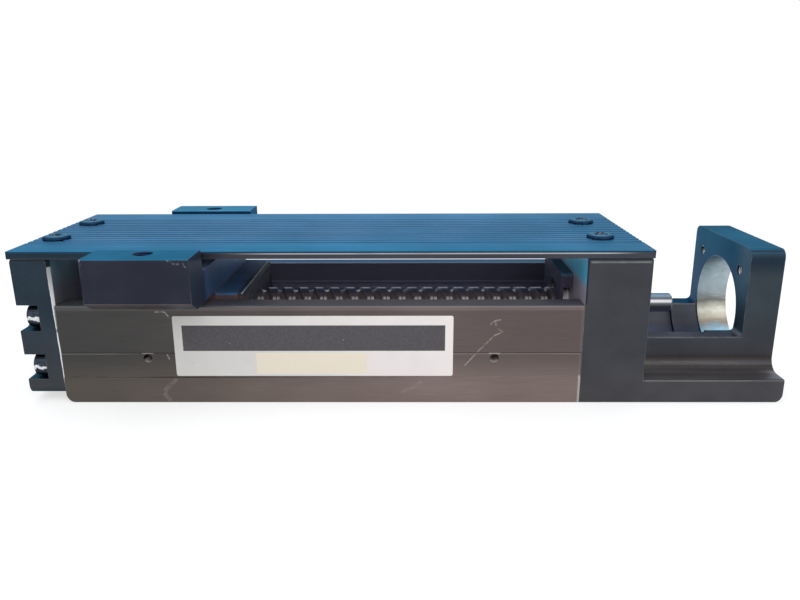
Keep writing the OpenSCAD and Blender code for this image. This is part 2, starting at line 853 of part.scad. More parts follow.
module end_seal() {
    bevel = 0.9;
    difference() {
        intersection() {
            along_x(plate_x, plate_x + end_seal_t) block_outline(0.25, table_z0 - end_plate_drop);
            along_y(-block_half, block_half) rounded([
                [plate_x, 0, 0],
                [plate_x + end_seal_t, 0, 0],
                [plate_x + end_seal_t, table_z0 - end_plate_drop - bevel, 0],
                [plate_x + end_seal_t - bevel, table_z0 - end_plate_drop, 0],
                [plate_x, table_z0 - end_plate_drop, 0]
            ]);
        }
        rod_x(2 * nut_hole_r - 0.3, plate_x - over, plate_x + end_seal_t + over, 0, screw_z);
        both_sides() {
            rod_x(plate_screw_d + 0.3, plate_x - over, plate_x + end_seal_t + over,
                plate_screw_y, plate_screw_z);
            rod_x(plate_head_d + 0.3, plate_x + end_seal_t - plate_head_h,
                plate_x + end_seal_t + over, plate_screw_y, plate_screw_z);
        }
    }
}

// Places a piece drawn on the carriage's motor side, or mirrors it to the far side
module on_side(dir) {
    translate([carriage_x, 0, 0]) mirror([dir < 0 ? 1 : 0, 0, 0]) children();
}

module end_plate_motor_side() {
    color("maroon") on_side(1) end_plate();
}

module end_plate_far_side() {
    color("maroon") on_side(-1) end_plate();
}

module end_seal_motor_side() {
    color("black") on_side(1) end_seal();
}

module end_seal_far_side() {
    color("black") on_side(-1) end_seal();
}

module end_plate_screws() {
    seat = plate_x + end_seal_t - plate_head_h;
    color("silver") for (dir = [-1, 1]) on_side(dir) both_sides() difference() {
        union() {
            rod_x(plate_head_d, seat, seat + plate_head_h, plate_screw_y, plate_screw_z);
            rod_x(plate_screw_d - 2 * fit_gap, table_len / 2 - plate_thread_h, seat + 0.5,
                plate_screw_y, plate_screw_z);
        }
        translate([seat + 0.5, plate_screw_y - 1.5, plate_screw_z - 0.3])
            cube([plate_head_h, 3, 0.6]);
    }
}

// Red-brown strips that close the gap beside the block, along its top edges
module side_seals() {
    color("brown") both_sides() difference() {
        translate([table_x0, block_half - 0.7, rail_h - 0.9]) cube([table_len, 1, 2]);
        along_x(table_x0 - over, table_x1 + over) block_outline(0, table_z0);
    }
}

// Guide balls: one loaded row and one return row for each circuit
module guide_balls() {
    step = table_len / race_count;
    color("white") for (z = race_z) both_sides() translate([carriage_x, 0, z]) {
        for (i = [0:race_count - 1], y = [race_y, return_y])
            translate([(i - (race_count - 1) / 2) * step, y, 0]) sphere(d = race_ball_d);
        for (dir = [-1, 1])
            translate([dir * (table_len / 2 + race_return / 2), race_y - race_return / 2, 0])
                sphere(d = race_ball_d);
    }
}

// Screw balls: one run for each start, along the middle of the nut
module screw_balls() {
    spacing = 360 / (nut_ball_count + 1);
    color("white") for (s = [0:starts - 1], i = [0:nut_ball_count - 1]) {
        x = carriage_x + lead * (i - (nut_ball_count - 1) / 2) * spacing / 360;
        a = helix_angle(x) + s * start_angle;
        translate([x, pitch_r * sin(a), screw_z - pitch_r * cos(a)]) sphere(d = nut_ball_d);
    }
}

// ---------- screw ----------

module ball_screw() {
    shoulder_x = ring_nut_x1 + lock_nut_t - ring_nut_t;
    core_r = pitch_r - groove_r - 0.15;
    color("silver") union() {
        ball_thread(thread_x0, thread_x1, screw_d / 2, -1);
        turned([
            [far_journal_x0, 0],
            [far_journal_x0, far_journal_d / 2 - 0.4],
            [far_journal_x0 + 0.4, far_journal_d / 2],
            [thread_x0, far_journal_d / 2],
            [thread_x0, core_r],
            [thread_x1, core_r],
            [thread_x1, motor_journal_d / 2],
            [shoulder_x, motor_journal_d / 2],
            [shoulder_x, shaft_end_d / 2],
            [shaft_x1 - 0.5, shaft_end_d / 2],
            [shaft_x1, shaft_end_d / 2 - 0.5],
            [shaft_x1, 0]
        ]);
    }
}

module thrust_collar() {
    color("gray") ring_x(2 * collar_r, motor_journal_d, thread_x1, brg_x0);
}

module lock_nut() {
    color("darkgray") difference() {
        translate([brg_x1, 0, screw_z]) rotate([0, 90, 0])
            cylinder(d = lock_nut_af / cos(30), h = lock_nut_t, $fn = 6);
        rod_x(motor_journal_d, brg_x1 - over, brg_x1 + lock_nut_t + over, 0, screw_z);
    }
}

module snap_ring() {
    x0 = x_rail0 - far_brg_w - snap_gap - snap_ring_t;
    color("gray") ring_x(far_journal_d + 2.6, far_journal_d, x0, x0 + snap_ring_t);
}

// ---------- assembly ----------

outer_rail();
motor_bracket();
far_end_casting();
top_cover();
cover_screws();
rail_screws_motor_end();
rail_screws_far_end();
motor_end_damper();
far_end_damper();
stop_ring();
motor_bearing_outer_rings();
motor_bearing_balls();
bearing_ring_nut();
far_bearing_outer_ring();
far_bearing_balls();
sub_table();
table_screws();
nut_block();
end_plate_motor_side();
end_plate_far_side();
end_seal_motor_side();
end_seal_far_side();
end_plate_screws();
side_seals();
guide_balls();
screw_balls();
ball_screw();
thrust_collar();
motor_bearing_inner_rings();
lock_nut();
far_bearing_inner_ring();
snap_ring();
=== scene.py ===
import json
import math

import bmesh
import bpy
from mathutils import Matrix, Vector


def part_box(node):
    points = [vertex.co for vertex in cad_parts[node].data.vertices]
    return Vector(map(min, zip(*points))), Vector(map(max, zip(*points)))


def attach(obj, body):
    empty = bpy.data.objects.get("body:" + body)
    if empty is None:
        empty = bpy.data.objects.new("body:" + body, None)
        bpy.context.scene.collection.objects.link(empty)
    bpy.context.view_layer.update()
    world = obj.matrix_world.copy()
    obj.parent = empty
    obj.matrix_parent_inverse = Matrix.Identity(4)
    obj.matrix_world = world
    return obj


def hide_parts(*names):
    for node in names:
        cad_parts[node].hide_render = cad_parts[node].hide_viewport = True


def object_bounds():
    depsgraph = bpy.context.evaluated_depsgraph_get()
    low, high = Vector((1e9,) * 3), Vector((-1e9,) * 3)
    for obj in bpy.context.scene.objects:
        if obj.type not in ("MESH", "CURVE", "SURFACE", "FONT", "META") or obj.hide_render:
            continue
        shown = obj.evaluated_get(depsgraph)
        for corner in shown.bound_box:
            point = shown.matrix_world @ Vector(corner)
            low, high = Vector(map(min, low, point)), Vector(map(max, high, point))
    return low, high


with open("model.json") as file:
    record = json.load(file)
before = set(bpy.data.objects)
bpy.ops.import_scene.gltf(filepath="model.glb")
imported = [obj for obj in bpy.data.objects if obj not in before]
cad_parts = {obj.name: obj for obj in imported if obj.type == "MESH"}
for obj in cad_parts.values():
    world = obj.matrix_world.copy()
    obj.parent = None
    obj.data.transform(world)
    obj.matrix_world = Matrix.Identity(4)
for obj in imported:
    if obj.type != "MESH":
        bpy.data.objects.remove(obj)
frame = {"nodes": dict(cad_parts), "record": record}
cad_low, cad_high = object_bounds()

MM = 0.001
TURN = 2 * math.pi

# Places of the main pieces, from the frame
RAIL_LOW, RAIL_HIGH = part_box("outer_rail")
FAR_LOW, FAR_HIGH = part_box("far_end_casting")
BRACKET_LOW, BRACKET_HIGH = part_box("motor_bracket")
COVER_LOW, COVER_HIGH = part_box("top_cover")
TABLE_LOW, TABLE_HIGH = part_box("sub_table")
SCREW_LOW, SCREW_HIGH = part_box("ball_screw")
RING_LOW, RING_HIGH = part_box("stop_ring")
DAMPER_LOW, DAMPER_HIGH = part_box("far_end_damper")
SHAFT_Z = (RING_LOW.z + RING_HIGH.z) / 2
TABLE_X = (TABLE_LOW.x + TABLE_HIGH.x) / 2
MOUNTS = {mount["name"]: mount for mount in frame["record"]["mounts"]}

# Rail screws
CAP_SCREW = 4 * MM
HEAD_RADIUS = 0.875 * CAP_SCREW

# Ball screw
LEAD = 10 * MM
STARTS = 2
LAND_RADIUS = 5 * MM
BALL_CIRCLE = 5.25 * MM
GROOVE_RADIUS = 1.15 * MM


# ---------- node trees ----------

class Graph:
    """Short calls that add nodes to a tree and join them. Values may be numbers or sockets."""

    def __init__(self, tree):
        self.tree = tree
        self.nodes = tree.nodes
        self.links = tree.links

    def add(self, kind, **settings):
        node = self.nodes.new(kind)
        for key, value in settings.items():
            setattr(node, key, value)
        return node

    def feed(self, socket, value):
        if isinstance(value, bpy.types.NodeSocket):
            self.links.new(value, socket)
        else:
            socket.default_value = value

    def math(self, operation, *values, clamp=False):
        node = self.add("ShaderNodeMath", operation=operation, use_clamp=clamp)
        for socket, value in zip(node.inputs, values):
            self.feed(socket, value)
        return node.outputs[0]

    def times(self, *values):
        result = values[0]
        for value in values[1:]:
            result = self.math("MULTIPLY", result, value)
        return result

    def plus(self, a, b):
        return self.math("ADD", a, b)

    def minus(self, a, b):
        return self.math("SUBTRACT", a, b)

    def larger(self, a, b):
        return self.math("MAXIMUM", a, b)

    def split(self, vector):
        node = self.add("ShaderNodeSeparateXYZ")
        self.feed(node.inputs[0], vector)
        return node.outputs

    def vector(self, x=0.0, y=0.0, z=0.0):
        node = self.add("ShaderNodeCombineXYZ")
        for socket, value in zip(node.inputs, (x, y, z)):
            self.feed(socket, value)
        return node.outputs[0]


class Finish(Graph):
    """A material in the making. Patterns are in the piece's own Object coordinates, in metres."""

    def __init__(self, name, metallic=0.0, roughness=0.5, **shader):
        self.material = bpy.data.materials.new(name)
        self.material.use_nodes = True
        super().__init__(self.material.node_tree)
        self.shader = self.nodes["Principled BSDF"]
        self.set("Metallic", metallic)
        self.set("Roughness", roughness)
        for key, value in shader.items():
            self.set(key.replace("_", " "), value)
        coords = self.add("ShaderNodeTexCoord")
        self.place = coords.outputs["Object"]
        self.x, self.y, self.z = self.split(self.place)
        self.nx, self.ny, self.nz = self.split(coords.outputs["Normal"])

    def set(self, name, value):
        self.feed(self.shader.inputs[name], value)

    def spaced(self, stretch=(1, 1, 1), shift=(0, 0, 0)):
        node = self.add("ShaderNodeMapping")
        node.inputs["Scale"].default_value = stretch
        node.inputs["Location"].default_value = shift
        self.feed(node.inputs["Vector"], self.place)
        return node.outputs[0]

    def noise(self, size, detail=3.0, stretch=(1, 1, 1), shift=(0, 0, 0), roughness=0.5):
        """Soft cloudy pattern from 0 to 1 whose patches are about size metres across."""
        node = self.add("ShaderNodeTexNoise")
        self.feed(node.inputs["Vector"], self.spaced(stretch, shift))
        node.inputs["Scale"].default_value = 1 / size
        node.inputs["Detail"].default_value = detail
        node.inputs["Roughness"].default_value = roughness
        return node.outputs[0]

    def cells(self, size, stretch=(1, 1, 1), shift=(0, 0, 0)):
        """Distance to the nearest of the points scattered about size metres apart."""
        node = self.add("ShaderNodeTexVoronoi")
        self.feed(node.inputs["Vector"], self.spaced(stretch, shift))
        node.inputs["Scale"].default_value = 1 / size
        return node.outputs["Distance"]

    def ramp(self, value, low, high, start=0.0, end=1.0, smooth=True):
        """Turns low..high into start..end and holds it there beyond."""
        node = self.add("ShaderNodeMapRange", clamp=True)
        node.interpolation_type = "SMOOTHSTEP" if smooth else "LINEAR"
        for socket, item in zip(node.inputs, (value, low, high, start, end)):
            self.feed(socket, item)
        return node.outputs[0]

    def between(self, value, low, high, soft):
        return self.times(self.ramp(value, low - soft, low + soft), self.ramp(value, high - soft, high + soft, 1, 0))

    def mix(self, amount, a, b, kind="MIX"):
        node = self.add("ShaderNodeMix", data_type="RGBA", blend_type=kind)
        self.feed(node.inputs["Factor"], amount)
        for socket, colour in zip((node.inputs[6], node.inputs[7]), (a, b)):
            self.feed(socket, colour if isinstance(colour, bpy.types.NodeSocket) else (*colour, 1.0))
        return node.outputs[2]

    def stops(self, value, *points):
        """Colours that follow one another along a value, as (place, colour) pairs in rising order."""
        low, high = points[0][0], points[-1][0]
        node = self.add("ShaderNodeValToRGB")
        self.feed(node.inputs[0], self.ramp(value, low, high, smooth=False))
        row = node.color_ramp.elements
        for place, colour in points[1:-1]:
            row.new((place - low) / (high - low)).color = (*colour, 1.0)
        row[0].color, row[-1].color = (*points[0][1], 1.0), (*points[-1][1], 1.0)
        return node.outputs[0]

    def shade(self, colour, factor):
        """A colour made lighter or darker by a factor that may vary over the surface."""
        node = self.add("ShaderNodeVectorMath", operation="SCALE")
        self.feed(node.inputs[0], colour)
        self.feed(node.inputs["Scale"], factor)
        return node.outputs[0]

    def radius(self, y=0.0, z=SHAFT_Z):
        """Distance from a line along X, such as the screw's axis."""
        dy, dz = self.minus(self.y, y), self.minus(self.z, z)
        return self.math("SQRT", self.plus(self.times(dy, dy), self.times(dz, dz)))

    def edges(self, width, samples=6):
        """1 where the surface turns over an edge within width metres, and 0 on flat ground."""
        bevel = self.add("ShaderNodeBevel", samples=samples)
        bevel.inputs["Radius"].default_value = width
        flat = self.add("ShaderNodeNewGeometry")
        dot = self.add("ShaderNodeVectorMath", operation="DOT_PRODUCT")
        self.feed(dot.inputs[0], bevel.outputs[0])
        self.feed(dot.inputs[1], flat.outputs["Normal"])
        return self.ramp(dot.outputs["Value"], 0.98, 0.82)

    def scratches(self, length, width, share, turn=0.0, shift=0.0):
        """Thin straight marks, where share is how much of the surface they take."""
        lines = self.add("ShaderNodeTexNoise")
        node = self.add("ShaderNodeMapping")
        node.inputs["Rotation"].default_value = (0, turn, 0)
        node.inputs["Location"].default_value = (shift, shift, shift)
        node.inputs["Scale"].default_value = (1 / length, 1 / width, 1 / width)
        self.feed(node.inputs["Vector"], self.place)
        self.feed(lines.inputs["Vector"], node.outputs[0])
        lines.inputs["Scale"].default_value = 1.0
        lines.inputs["Detail"].default_value = 1.0
        return self.ramp(lines.outputs[0], 0.5 + share, 0.56 + share)

    def drawn(self, points, width):
        """1 within width metres of a line on the near side, drawn through (x, z) points in millimetres."""
        nearest = 1.0
        for (x0, z0), (x1, z1) in zip(points, points[1:]):
            length = math.hypot(x1 - x0, z1 - z0)
            ux, uz = (x1 - x0) / length, (z1 - z0) / length
            dx, dz = self.minus(self.x, x0 * MM), self.minus(self.z, z0 * MM)
            along = self.larger(self.plus(self.times(dx, ux), self.times(dz, uz)), 0.0)
            along = self.math("MINIMUM", along, length * MM)
            ax, az = self.minus(dx, self.times(along, ux)), self.minus(dz, self.times(along, uz))
            away = self.math("SQRT", self.plus(self.times(ax, ax), self.times(az, az)))
            nearest = self.math("MINIMUM", nearest, away)
        return self.times(self.ramp(nearest, width, 0.4 * width), self.ramp(self.ny, -0.4, -0.8),
                          self.ramp(self.y, -20 * MM, -25 * MM))

    def bump(self, height, distance, strength=1.0):
        """Raises the surface by height (0 to 1) times distance metres."""
        node = self.add("ShaderNodeBump")
        node.inputs["Strength"].default_value = strength
        node.inputs["Distance"].default_value = distance
        self.feed(node.inputs["Height"], height)
        self.feed(self.shader.inputs["Normal"], node.outputs[0])

    def done(self, colour):
        self.set("Base Color", colour)
        return self.material


# ---------- finishes ----------

BLUE_SHEEN = (0.40, 0.58, 0.72, 1.0)     # tint of the low-angle sheen on anodised faces
DULL_SHEEN = (0.45, 0.47, 0.52, 1.0)     # the same on blackened steel


def cloudy(finish, colour, size, low=0.88, high=1.10):
    """Slow changes of tone, as handling and uneven dyeing leave them."""
    return finish.shade(colour, finish.ramp(finish.noise(size, 4), 0.3, 0.7, low, high))


def rubbed(finish, colour, bright, width, patch, most=0.5):
    """Edges lightened in patches: partly wear where the finish is rubbed off, partly painted edge highlight."""
    amount = finish.ramp(finish.noise(patch, 5), 0.42, 0.64, 0.1 * most, most)
    return finish.mix(finish.times(finish.edges(width), amount), colour, bright)


def casting_finish():
    """Black anodised castings: their upper faces painted blue as a sky reflection, grey below, bright where they are
    machined afterwards.
    """
    finish = Finish("black anodised casting", roughness=0.46, Specular_Tint=BLUE_SHEEN, Specular_IOR_Level=0.15)
    aside = finish.math("ABSOLUTE", finish.y)
    # Outer faces painted paler towards the foot, a painted reflection of the floor.
    foot = finish.ramp(finish.z, 15 * MM, 3 * MM)
    block = finish.mix(foot, (0.050, 0.052, 0.060), (0.064, 0.063, 0.069))
    recessed = finish.mix(finish.ramp(finish.z, 10 * MM, 30 * MM), (0.044, 0.045, 0.052), (0.042, 0.054, 0.066))
    recessed = finish.mix(finish.between(finish.z, 9.8 * MM, 11.4 * MM, 0.5 * MM), recessed, (0.040, 0.034, 0.034))
    recessed = finish.mix(finish.ramp(finish.z, 34 * MM, 40 * MM), recessed, (0.019, 0.032, 0.048))
    # The inner walls on the far side painted lighter, as painted light.
    recessed = finish.shade(recessed, finish.ramp(finish.y, 0, 6 * MM, 1.0, 1.3))
    # The far casting's faces: painted paler low down as the floor's reflection, darker and bluer higher up.
    far = finish.stops(finish.z, (4 * MM, (0.050, 0.054, 0.058)), (18 * MM, (0.040, 0.050, 0.064)),
                       (26 * MM, (0.026, 0.039, 0.054)))
    at_motor = finish.ramp(finish.x, -20 * MM, 20 * MM)
    face = finish.mix(finish.ramp(aside, 24 * MM, 26 * MM), recessed, block)
    face = finish.mix(at_motor, far, face)
    # Faces that look towards the far end, painted blue as a sky reflection, paler towards the near side.
    flange = finish.mix(finish.ramp(finish.z, 30 * MM, 40 * MM), (0.062, 0.088, 0.138), (0.043, 0.098, 0.160))
    flange = finish.mix(finish.ramp(finish.y, -8 * MM, -20 * MM), flange, (0.112, 0.162, 0.215))
    colour = finish.mix(finish.times(at_motor, finish.ramp(finish.nx, -0.35, -0.8)), face, flange)
    within, shade = sheltered(finish)
    colour = finish.mix(within, colour, shade)
    low_top = finish.mix(finish.ramp(aside, 21 * MM, 19 * MM), (0.078, 0.071, 0.072), (0.042, 0.050, 0.075))
    low_top = finish.mix(finish.ramp(finish.z, 9 * MM, 15 * MM), low_top, (0.080, 0.069, 0.077))
    flange_top = finish.stops(finish.y, (-28 * MM, (0.025, 0.082, 0.145)), (0, (0.017, 0.091, 0.165)),
                              (22 * MM, (0.008, 0.057, 0.105)))
    behind = finish.times(finish.ramp(finish.y, 4 * MM, 10 * MM), finish.ramp(finish.z, 11 * MM, 15 * MM))
    low_top = finish.mix(behind, low_top, (0.008, 0.024, 0.058))
    low_top = finish.mix(at_motor, (0.024, 0.042, 0.056), low_top)
    top = finish.mix(finish.ramp(finish.z, 24 * MM, 32 * MM), low_top, flange_top)
    # Upward faces take the top colours: their blue is a painted sky reflection.
    colour = finish.mix(finish.ramp(finish.nz, 0.4, 0.85), colour, top)
    # Top of the foot by the motor: painted shade in the corner by the wall, painted lighter further out.
    foot_top = finish.times(at_motor, finish.ramp(finish.nz, 0.2, 0.5), finish.ramp(finish.z, 8.9 * MM, 8.4 * MM),
                            finish.between(aside, 20.7 * MM, 29.0 * MM, 0.3 * MM))
    by_wall = finish.ramp(aside, 22.8 * MM, 24.6 * MM, 0.52, 2.3)
    colour = finish.shade(colour, finish.ramp(foot_top, 0, 1, 1.0, by_wall))
    colour = cloudy(finish, colour, 14 * MM)
    grain = finish.noise(0.5 * MM, 3)
    colour = finish.shade(colour, finish.ramp(grain, 0.35, 0.65, 0.96, 1.04))
    colour = finish.mix(cove_line(finish), colour, (0.068, 0.060, 0.052))
    # Worn edges, lightened in patches, which also stand in for painted edge highlights.
    colour = rubbed(finish, colour, (0.26, 0.26, 0.28), 0.35 * MM, 3 * MM)
    colour = block_edges(finish, colour)
    bore, strip = flange_bore(finish), bare_strip(finish)
    colour = finish.mix(bore, colour, machined(finish))
    colour = finish.mix(strip, colour, (0.66, 0.67, 0.68))
    finish.set("Metallic", finish.larger(finish.ramp(within, 0, 1, 1.0, 0.15), finish.larger(bore, strip)))
    finish.set("Roughness", finish.ramp(bore, 0, 1, 0.46, 0.38))
    finish.bump(grain, 0.015 * MM, 0.4)
    return finish.done(colour)


def block_edges(finish, colour):
    """The bearing block's upper edge, painted pale below a painted shadow line, painted shade in its corner by the
    rail, and the walls' top edges, partly worn and partly painted highlight.
    """
    near = finish.ramp(finish.ny, -0.3, -0.6)
    over_block = finish.between(finish.x, RAIL_HIGH.x + 1 * MM, COVER_HIGH.x - 0.5 * MM, 0.4 * MM)
    ragged = finish.ramp(finish.noise(6 * MM, 4), 0.3, 0.6, 0.45, 1.0)
    # Painted highlight along the block's upper edge.
    pale = finish.times(near, over_block, finish.between(finish.z, 41.75 * MM, 42.30 * MM, 0.12 * MM), ragged, 0.75)
    # Painted shadow line under the cover.
    colour = finish.mix(finish.times(near, finish.ramp(finish.z, 42.5 * MM, 42.8 * MM)), colour, (0.024, 0.028, 0.038))
    colour = finish.mix(pale, colour, (0.20, 0.21, 0.215))
    # Painted shade in the corner by the rail.
    corner = finish.times(finish.between(finish.x, RAIL_HIGH.x - 1 * MM, RAIL_HIGH.x + 0.55 * MM, 0.1 * MM), near,
                          finish.ramp(finish.z, RAIL_HIGH.z, RAIL_HIGH.z + 1 * MM))
    colour = finish.mix(finish.times(corner, 0.8), colour, (0.014, 0.018, 0.036))
    # Pale lines on the walls' top edges: wear and painted highlight.
    brow = finish.larger(finish.between(finish.z, 16.75 * MM, 17.15 * MM, 0.1 * MM), finish.between(finish.z, 6.55 * MM, 6.9 * MM, 0.1 * MM))
    beyond = finish.between(finish.x, COVER_HIGH.x + 1 * MM, BRACKET_HIGH.x - 9.5 * MM, 0.4 * MM)
    brow = finish.times(brow, finish.ramp(finish.z, 10 * MM, 14 * MM, 0.25, 0.75))
    return finish.mix(finish.times(brow, beyond, near, ragged), colour, (0.14, 0.14, 0.145))


def sheltered(finish):
    """The castings' faces that look into the module, and their colour: only dull light reaches them, so the colour is
    lifted as painted light, painted blue high up as a reflection, with painted shade towards the near side.
    """
    at_rail = finish.larger(
        finish.times(finish.ramp(finish.nx, 0.8, 0.95), finish.ramp(finish.x, FAR_HIGH.x + 2 * MM, FAR_HIGH.x + 1 * MM)),
        finish.times(finish.ramp(finish.nx, -0.35, -0.8), finish.between(finish.x, 0, RAIL_HIGH.x + 8.5 * MM, 0.5 * MM)))
    motor_side = finish.mix(finish.ramp(finish.z, 33 * MM, 37.5 * MM), (0.43, 0.38, 0.45), (0.115, 0.63, 0.95))
    far_side = finish.mix(finish.ramp(finish.z, 31 * MM, 43 * MM), (0.30, 0.31, 0.35), (0.26, 0.48, 0.62))
    # Painted shade towards the near side.
    far_side = finish.shade(far_side, finish.ramp(finish.y, -17 * MM, -24 * MM, 1.0, 0.66))
    return at_rail, finish.mix(finish.ramp(finish.x, -20 * MM, 20 * MM), far_side, motor_side)


def cove_line(finish):
    """Grimy, rubbed line where the trough's walls turn into the cove above the foot."""
    wave = finish.times(finish.minus(finish.noise(4 * MM, 4), 0.5), 0.5 * MM)
    line = finish.between(finish.plus(finish.z, wave), 9.12 * MM, 9.50 * MM, 0.14 * MM)
    patch = finish.ramp(finish.noise(2.2 * MM, 5), 0.38, 0.58, 0.35, 1.0)
    specks = finish.times(finish.ramp(finish.noise(0.7 * MM, 3), 0.60, 0.68), finish.between(finish.z, 7.6 * MM, 9.2 * MM, 0.4 * MM))
    along = finish.ramp(finish.x, BRACKET_HIGH.x - 6 * MM, BRACKET_HIGH.x - 14 * MM)
    outside = finish.times(finish.ramp(finish.ny, 0.0, -0.15), finish.ramp(finish.y, -5 * MM, -10 * MM),
                           finish.ramp(finish.x, COVER_HIGH.x - 1 * MM, COVER_HIGH.x))
    return finish.times(finish.larger(finish.times(line, patch), finish.times(specks, 0.45)), along, outside)


def machined(finish):
    """Bare metal in soft bands round the hole, the bands being painted reflections, with smears and a few long thin
    scratches.
    """
    wave = finish.times(finish.minus(finish.noise(5 * MM, 3), 0.5), 3 * MM)
    # Bands of painted reflection, by height.
    colour = finish.stops(
        finish.plus(finish.z, wave),
        (9.5 * MM, (0.20, 0.36, 0.47)), (12.1 * MM, (0.225, 0.19, 0.155)), (15.1 * MM, (0.38, 0.38, 0.335)),
        (18.3 * MM, (0.120, 0.122, 0.112)), (21.8 * MM, (0.31, 0.37, 0.40)), (25.4 * MM, (0.42, 0.50, 0.54)),
        (30.9 * MM, (0.345, 0.405, 0.445)))
    smear = finish.ramp(finish.noise(3.2 * MM, 4, stretch=(0.8, 1, 1)), 0.35, 0.65)
    colour = finish.shade(colour, finish.ramp(smear, 0, 1, 0.90, 1.07))
    worn = finish.larger(finish.scratches(7 * MM, 0.5 * MM, 0.19, 0.8), finish.scratches(6 * MM, 0.4 * MM, 0.19, -0.8, 0.3))
    return finish.mix(finish.times(worn, 0.4), colour, (0.52, 0.51, 0.48))


def flange_bore(finish):
    """The machined hole for the motor, left bright."""
    bore = MOUNTS["motor_pilot"]["dims"]["r_mm"] * MM
    inside = finish.ramp(finish.radius(), bore + 0.15 * MM, bore + 0.05 * MM)
    depth = MOUNTS["motor_pilot"]["dims"]["length_mm"] * MM
    along = finish.ramp(finish.x, BRACKET_HIGH.x - depth - 0.1 * MM, BRACKET_HIGH.x - depth + 0.1 * MM)
    return finish.times(inside, along)


def bare_strip(finish):
    """Inner side corners of the far end casting, rubbed bare in a line that narrows downwards."""
    outward = finish.ramp(finish.math("ABSOLUTE", finish.ny), 0.5, 0.65)
    line = finish.ramp(finish.z, FAR_LOW.z, FAR_HIGH.z, FAR_HIGH.x - 0.50 * MM, FAR_HIGH.x - 0.90 * MM, smooth=False)
    ragged = finish.times(finish.minus(finish.noise(1.5 * MM, 3), 0.5), 0.35 * MM)
    across = finish.ramp(finish.minus(finish.plus(finish.x, ragged), line), -0.05 * MM, 0.05 * MM)
    height = finish.ramp(finish.z, FAR_HIGH.z - 2.9 * MM, FAR_HIGH.z - 2.5 * MM, 1, 0)
    kink = finish.ramp(finish.math("ABSOLUTE", finish.minus(finish.z, 22 * MM)), 0.2 * MM, 0.9 * MM, 0.35, 1.0)
    corner = finish.ramp(finish.x, FAR_HIGH.x - 0.06 * MM, FAR_HIGH.x - 0.14 * MM, 0.35, 1.0)
    return finish.times(across, outward, height, kink, corner, finish.ramp(finish.x, FAR_HIGH.x + 2 * MM, FAR_HIGH.x + 1 * MM))


def cover_finish():
    """Black anodised plate whose upper face is painted blue as a sky reflection, brushed along its length, with
    painted shade in its grooves and a painted highlight below a painted dark line along its long edges.
    """
    finish = Finish("blue-black anodised cover", roughness=0.42, Specular_Tint=BLUE_SHEEN, Specular_IOR_Level=0.15)
    lines = finish.noise(0.35 * MM, 3, stretch=(0.02, 1, 1))
    broad = finish.noise(2.5 * MM, 3, stretch=(0.015, 1, 1), shift=(0, 0.4, 0))
    # Upper face painted blue as a sky reflection, varying across and along the plate.
    top = finish.stops(finish.y, (COVER_LOW.y, (0.027, 0.152, 0.280)), (-14 * MM, (0.060, 0.158, 0.290)),
                       (8 * MM, (0.072, 0.164, 0.300)), (COVER_HIGH.y, (0.068, 0.182, 0.330)))
    top = finish.mix(finish.ramp(finish.x, 20 * MM, COVER_HIGH.x), top, (0.050, 0.150, 0.270))
    haze = finish.times(finish.ramp(finish.noise(28 * MM, 2), 0.42, 0.62), finish.between(finish.y, -16 * MM, 20 * MM, 5 * MM))
    top = finish.mix(finish.times(haze, 0.45), top, (0.094, 0.160, 0.275))
    top = finish.shade(top, finish.ramp(broad, 0.3, 0.7, 0.90, 1.10))
    # Painted shade in the grooves.
    groove = finish.ramp(finish.z, COVER_HIGH.z - 0.01 * MM, COVER_HIGH.z - 0.08 * MM)
    top = finish.mix(finish.times(groove, 0.9), top, (0.010, 0.040, 0.084))
    side = finish.mix(finish.ramp(finish.x, -85 * MM, -50 * MM), (0.021, 0.036, 0.051), (0.050, 0.052, 0.064))
    colour = finish.mix(finish.ramp(finish.nz, 0.8, 0.3), top, side)
    colour = cloudy(finish, finish.shade(colour, finish.ramp(lines, 0.3, 0.7, 0.93, 1.07)), 26 * MM)
    # Painted dark line at the top of the edge rounding.
    rim = finish.ramp(finish.math("ABSOLUTE", finish.y), COVER_HIGH.y - 0.55 * MM, COVER_HIGH.y - 0.35 * MM)
    dark = finish.times(rim, finish.between(finish.z, COVER_HIGH.z - 0.34 * MM, COVER_HIGH.z, 0.04 * MM))
    colour = finish.mix(dark, colour, (0.012, 0.027, 0.052))
    # Painted highlight just below it, in patches.
    pale = finish.times(rim, finish.between(finish.z, COVER_HIGH.z - 0.74 * MM, COVER_HIGH.z - 0.40 * MM, 0.05 * MM))
    worn = finish.ramp(finish.noise(9 * MM, 5, stretch=(0.3, 1, 1)), 0.34, 0.56, 0.3, 1.0)
    along = finish.times(finish.ramp(finish.x, -52 * MM, -32 * MM), finish.ramp(finish.x, COVER_HIGH.x - 3 * MM, COVER_HIGH.x - 14 * MM))
    colour = finish.mix(finish.times(pale, worn, along), colour, (0.34, 0.35, 0.37))
    under = finish.ramp(finish.nz, -0.3, -0.7)
    colour = finish.mix(under, colour, (0.12, 0.12, 0.15))
    finish.set("Metallic", finish.ramp(under, 0, 1, 1.0, 0.3))
    finish.bump(lines, 0.012 * MM, 0.5)
    return finish.done(colour)


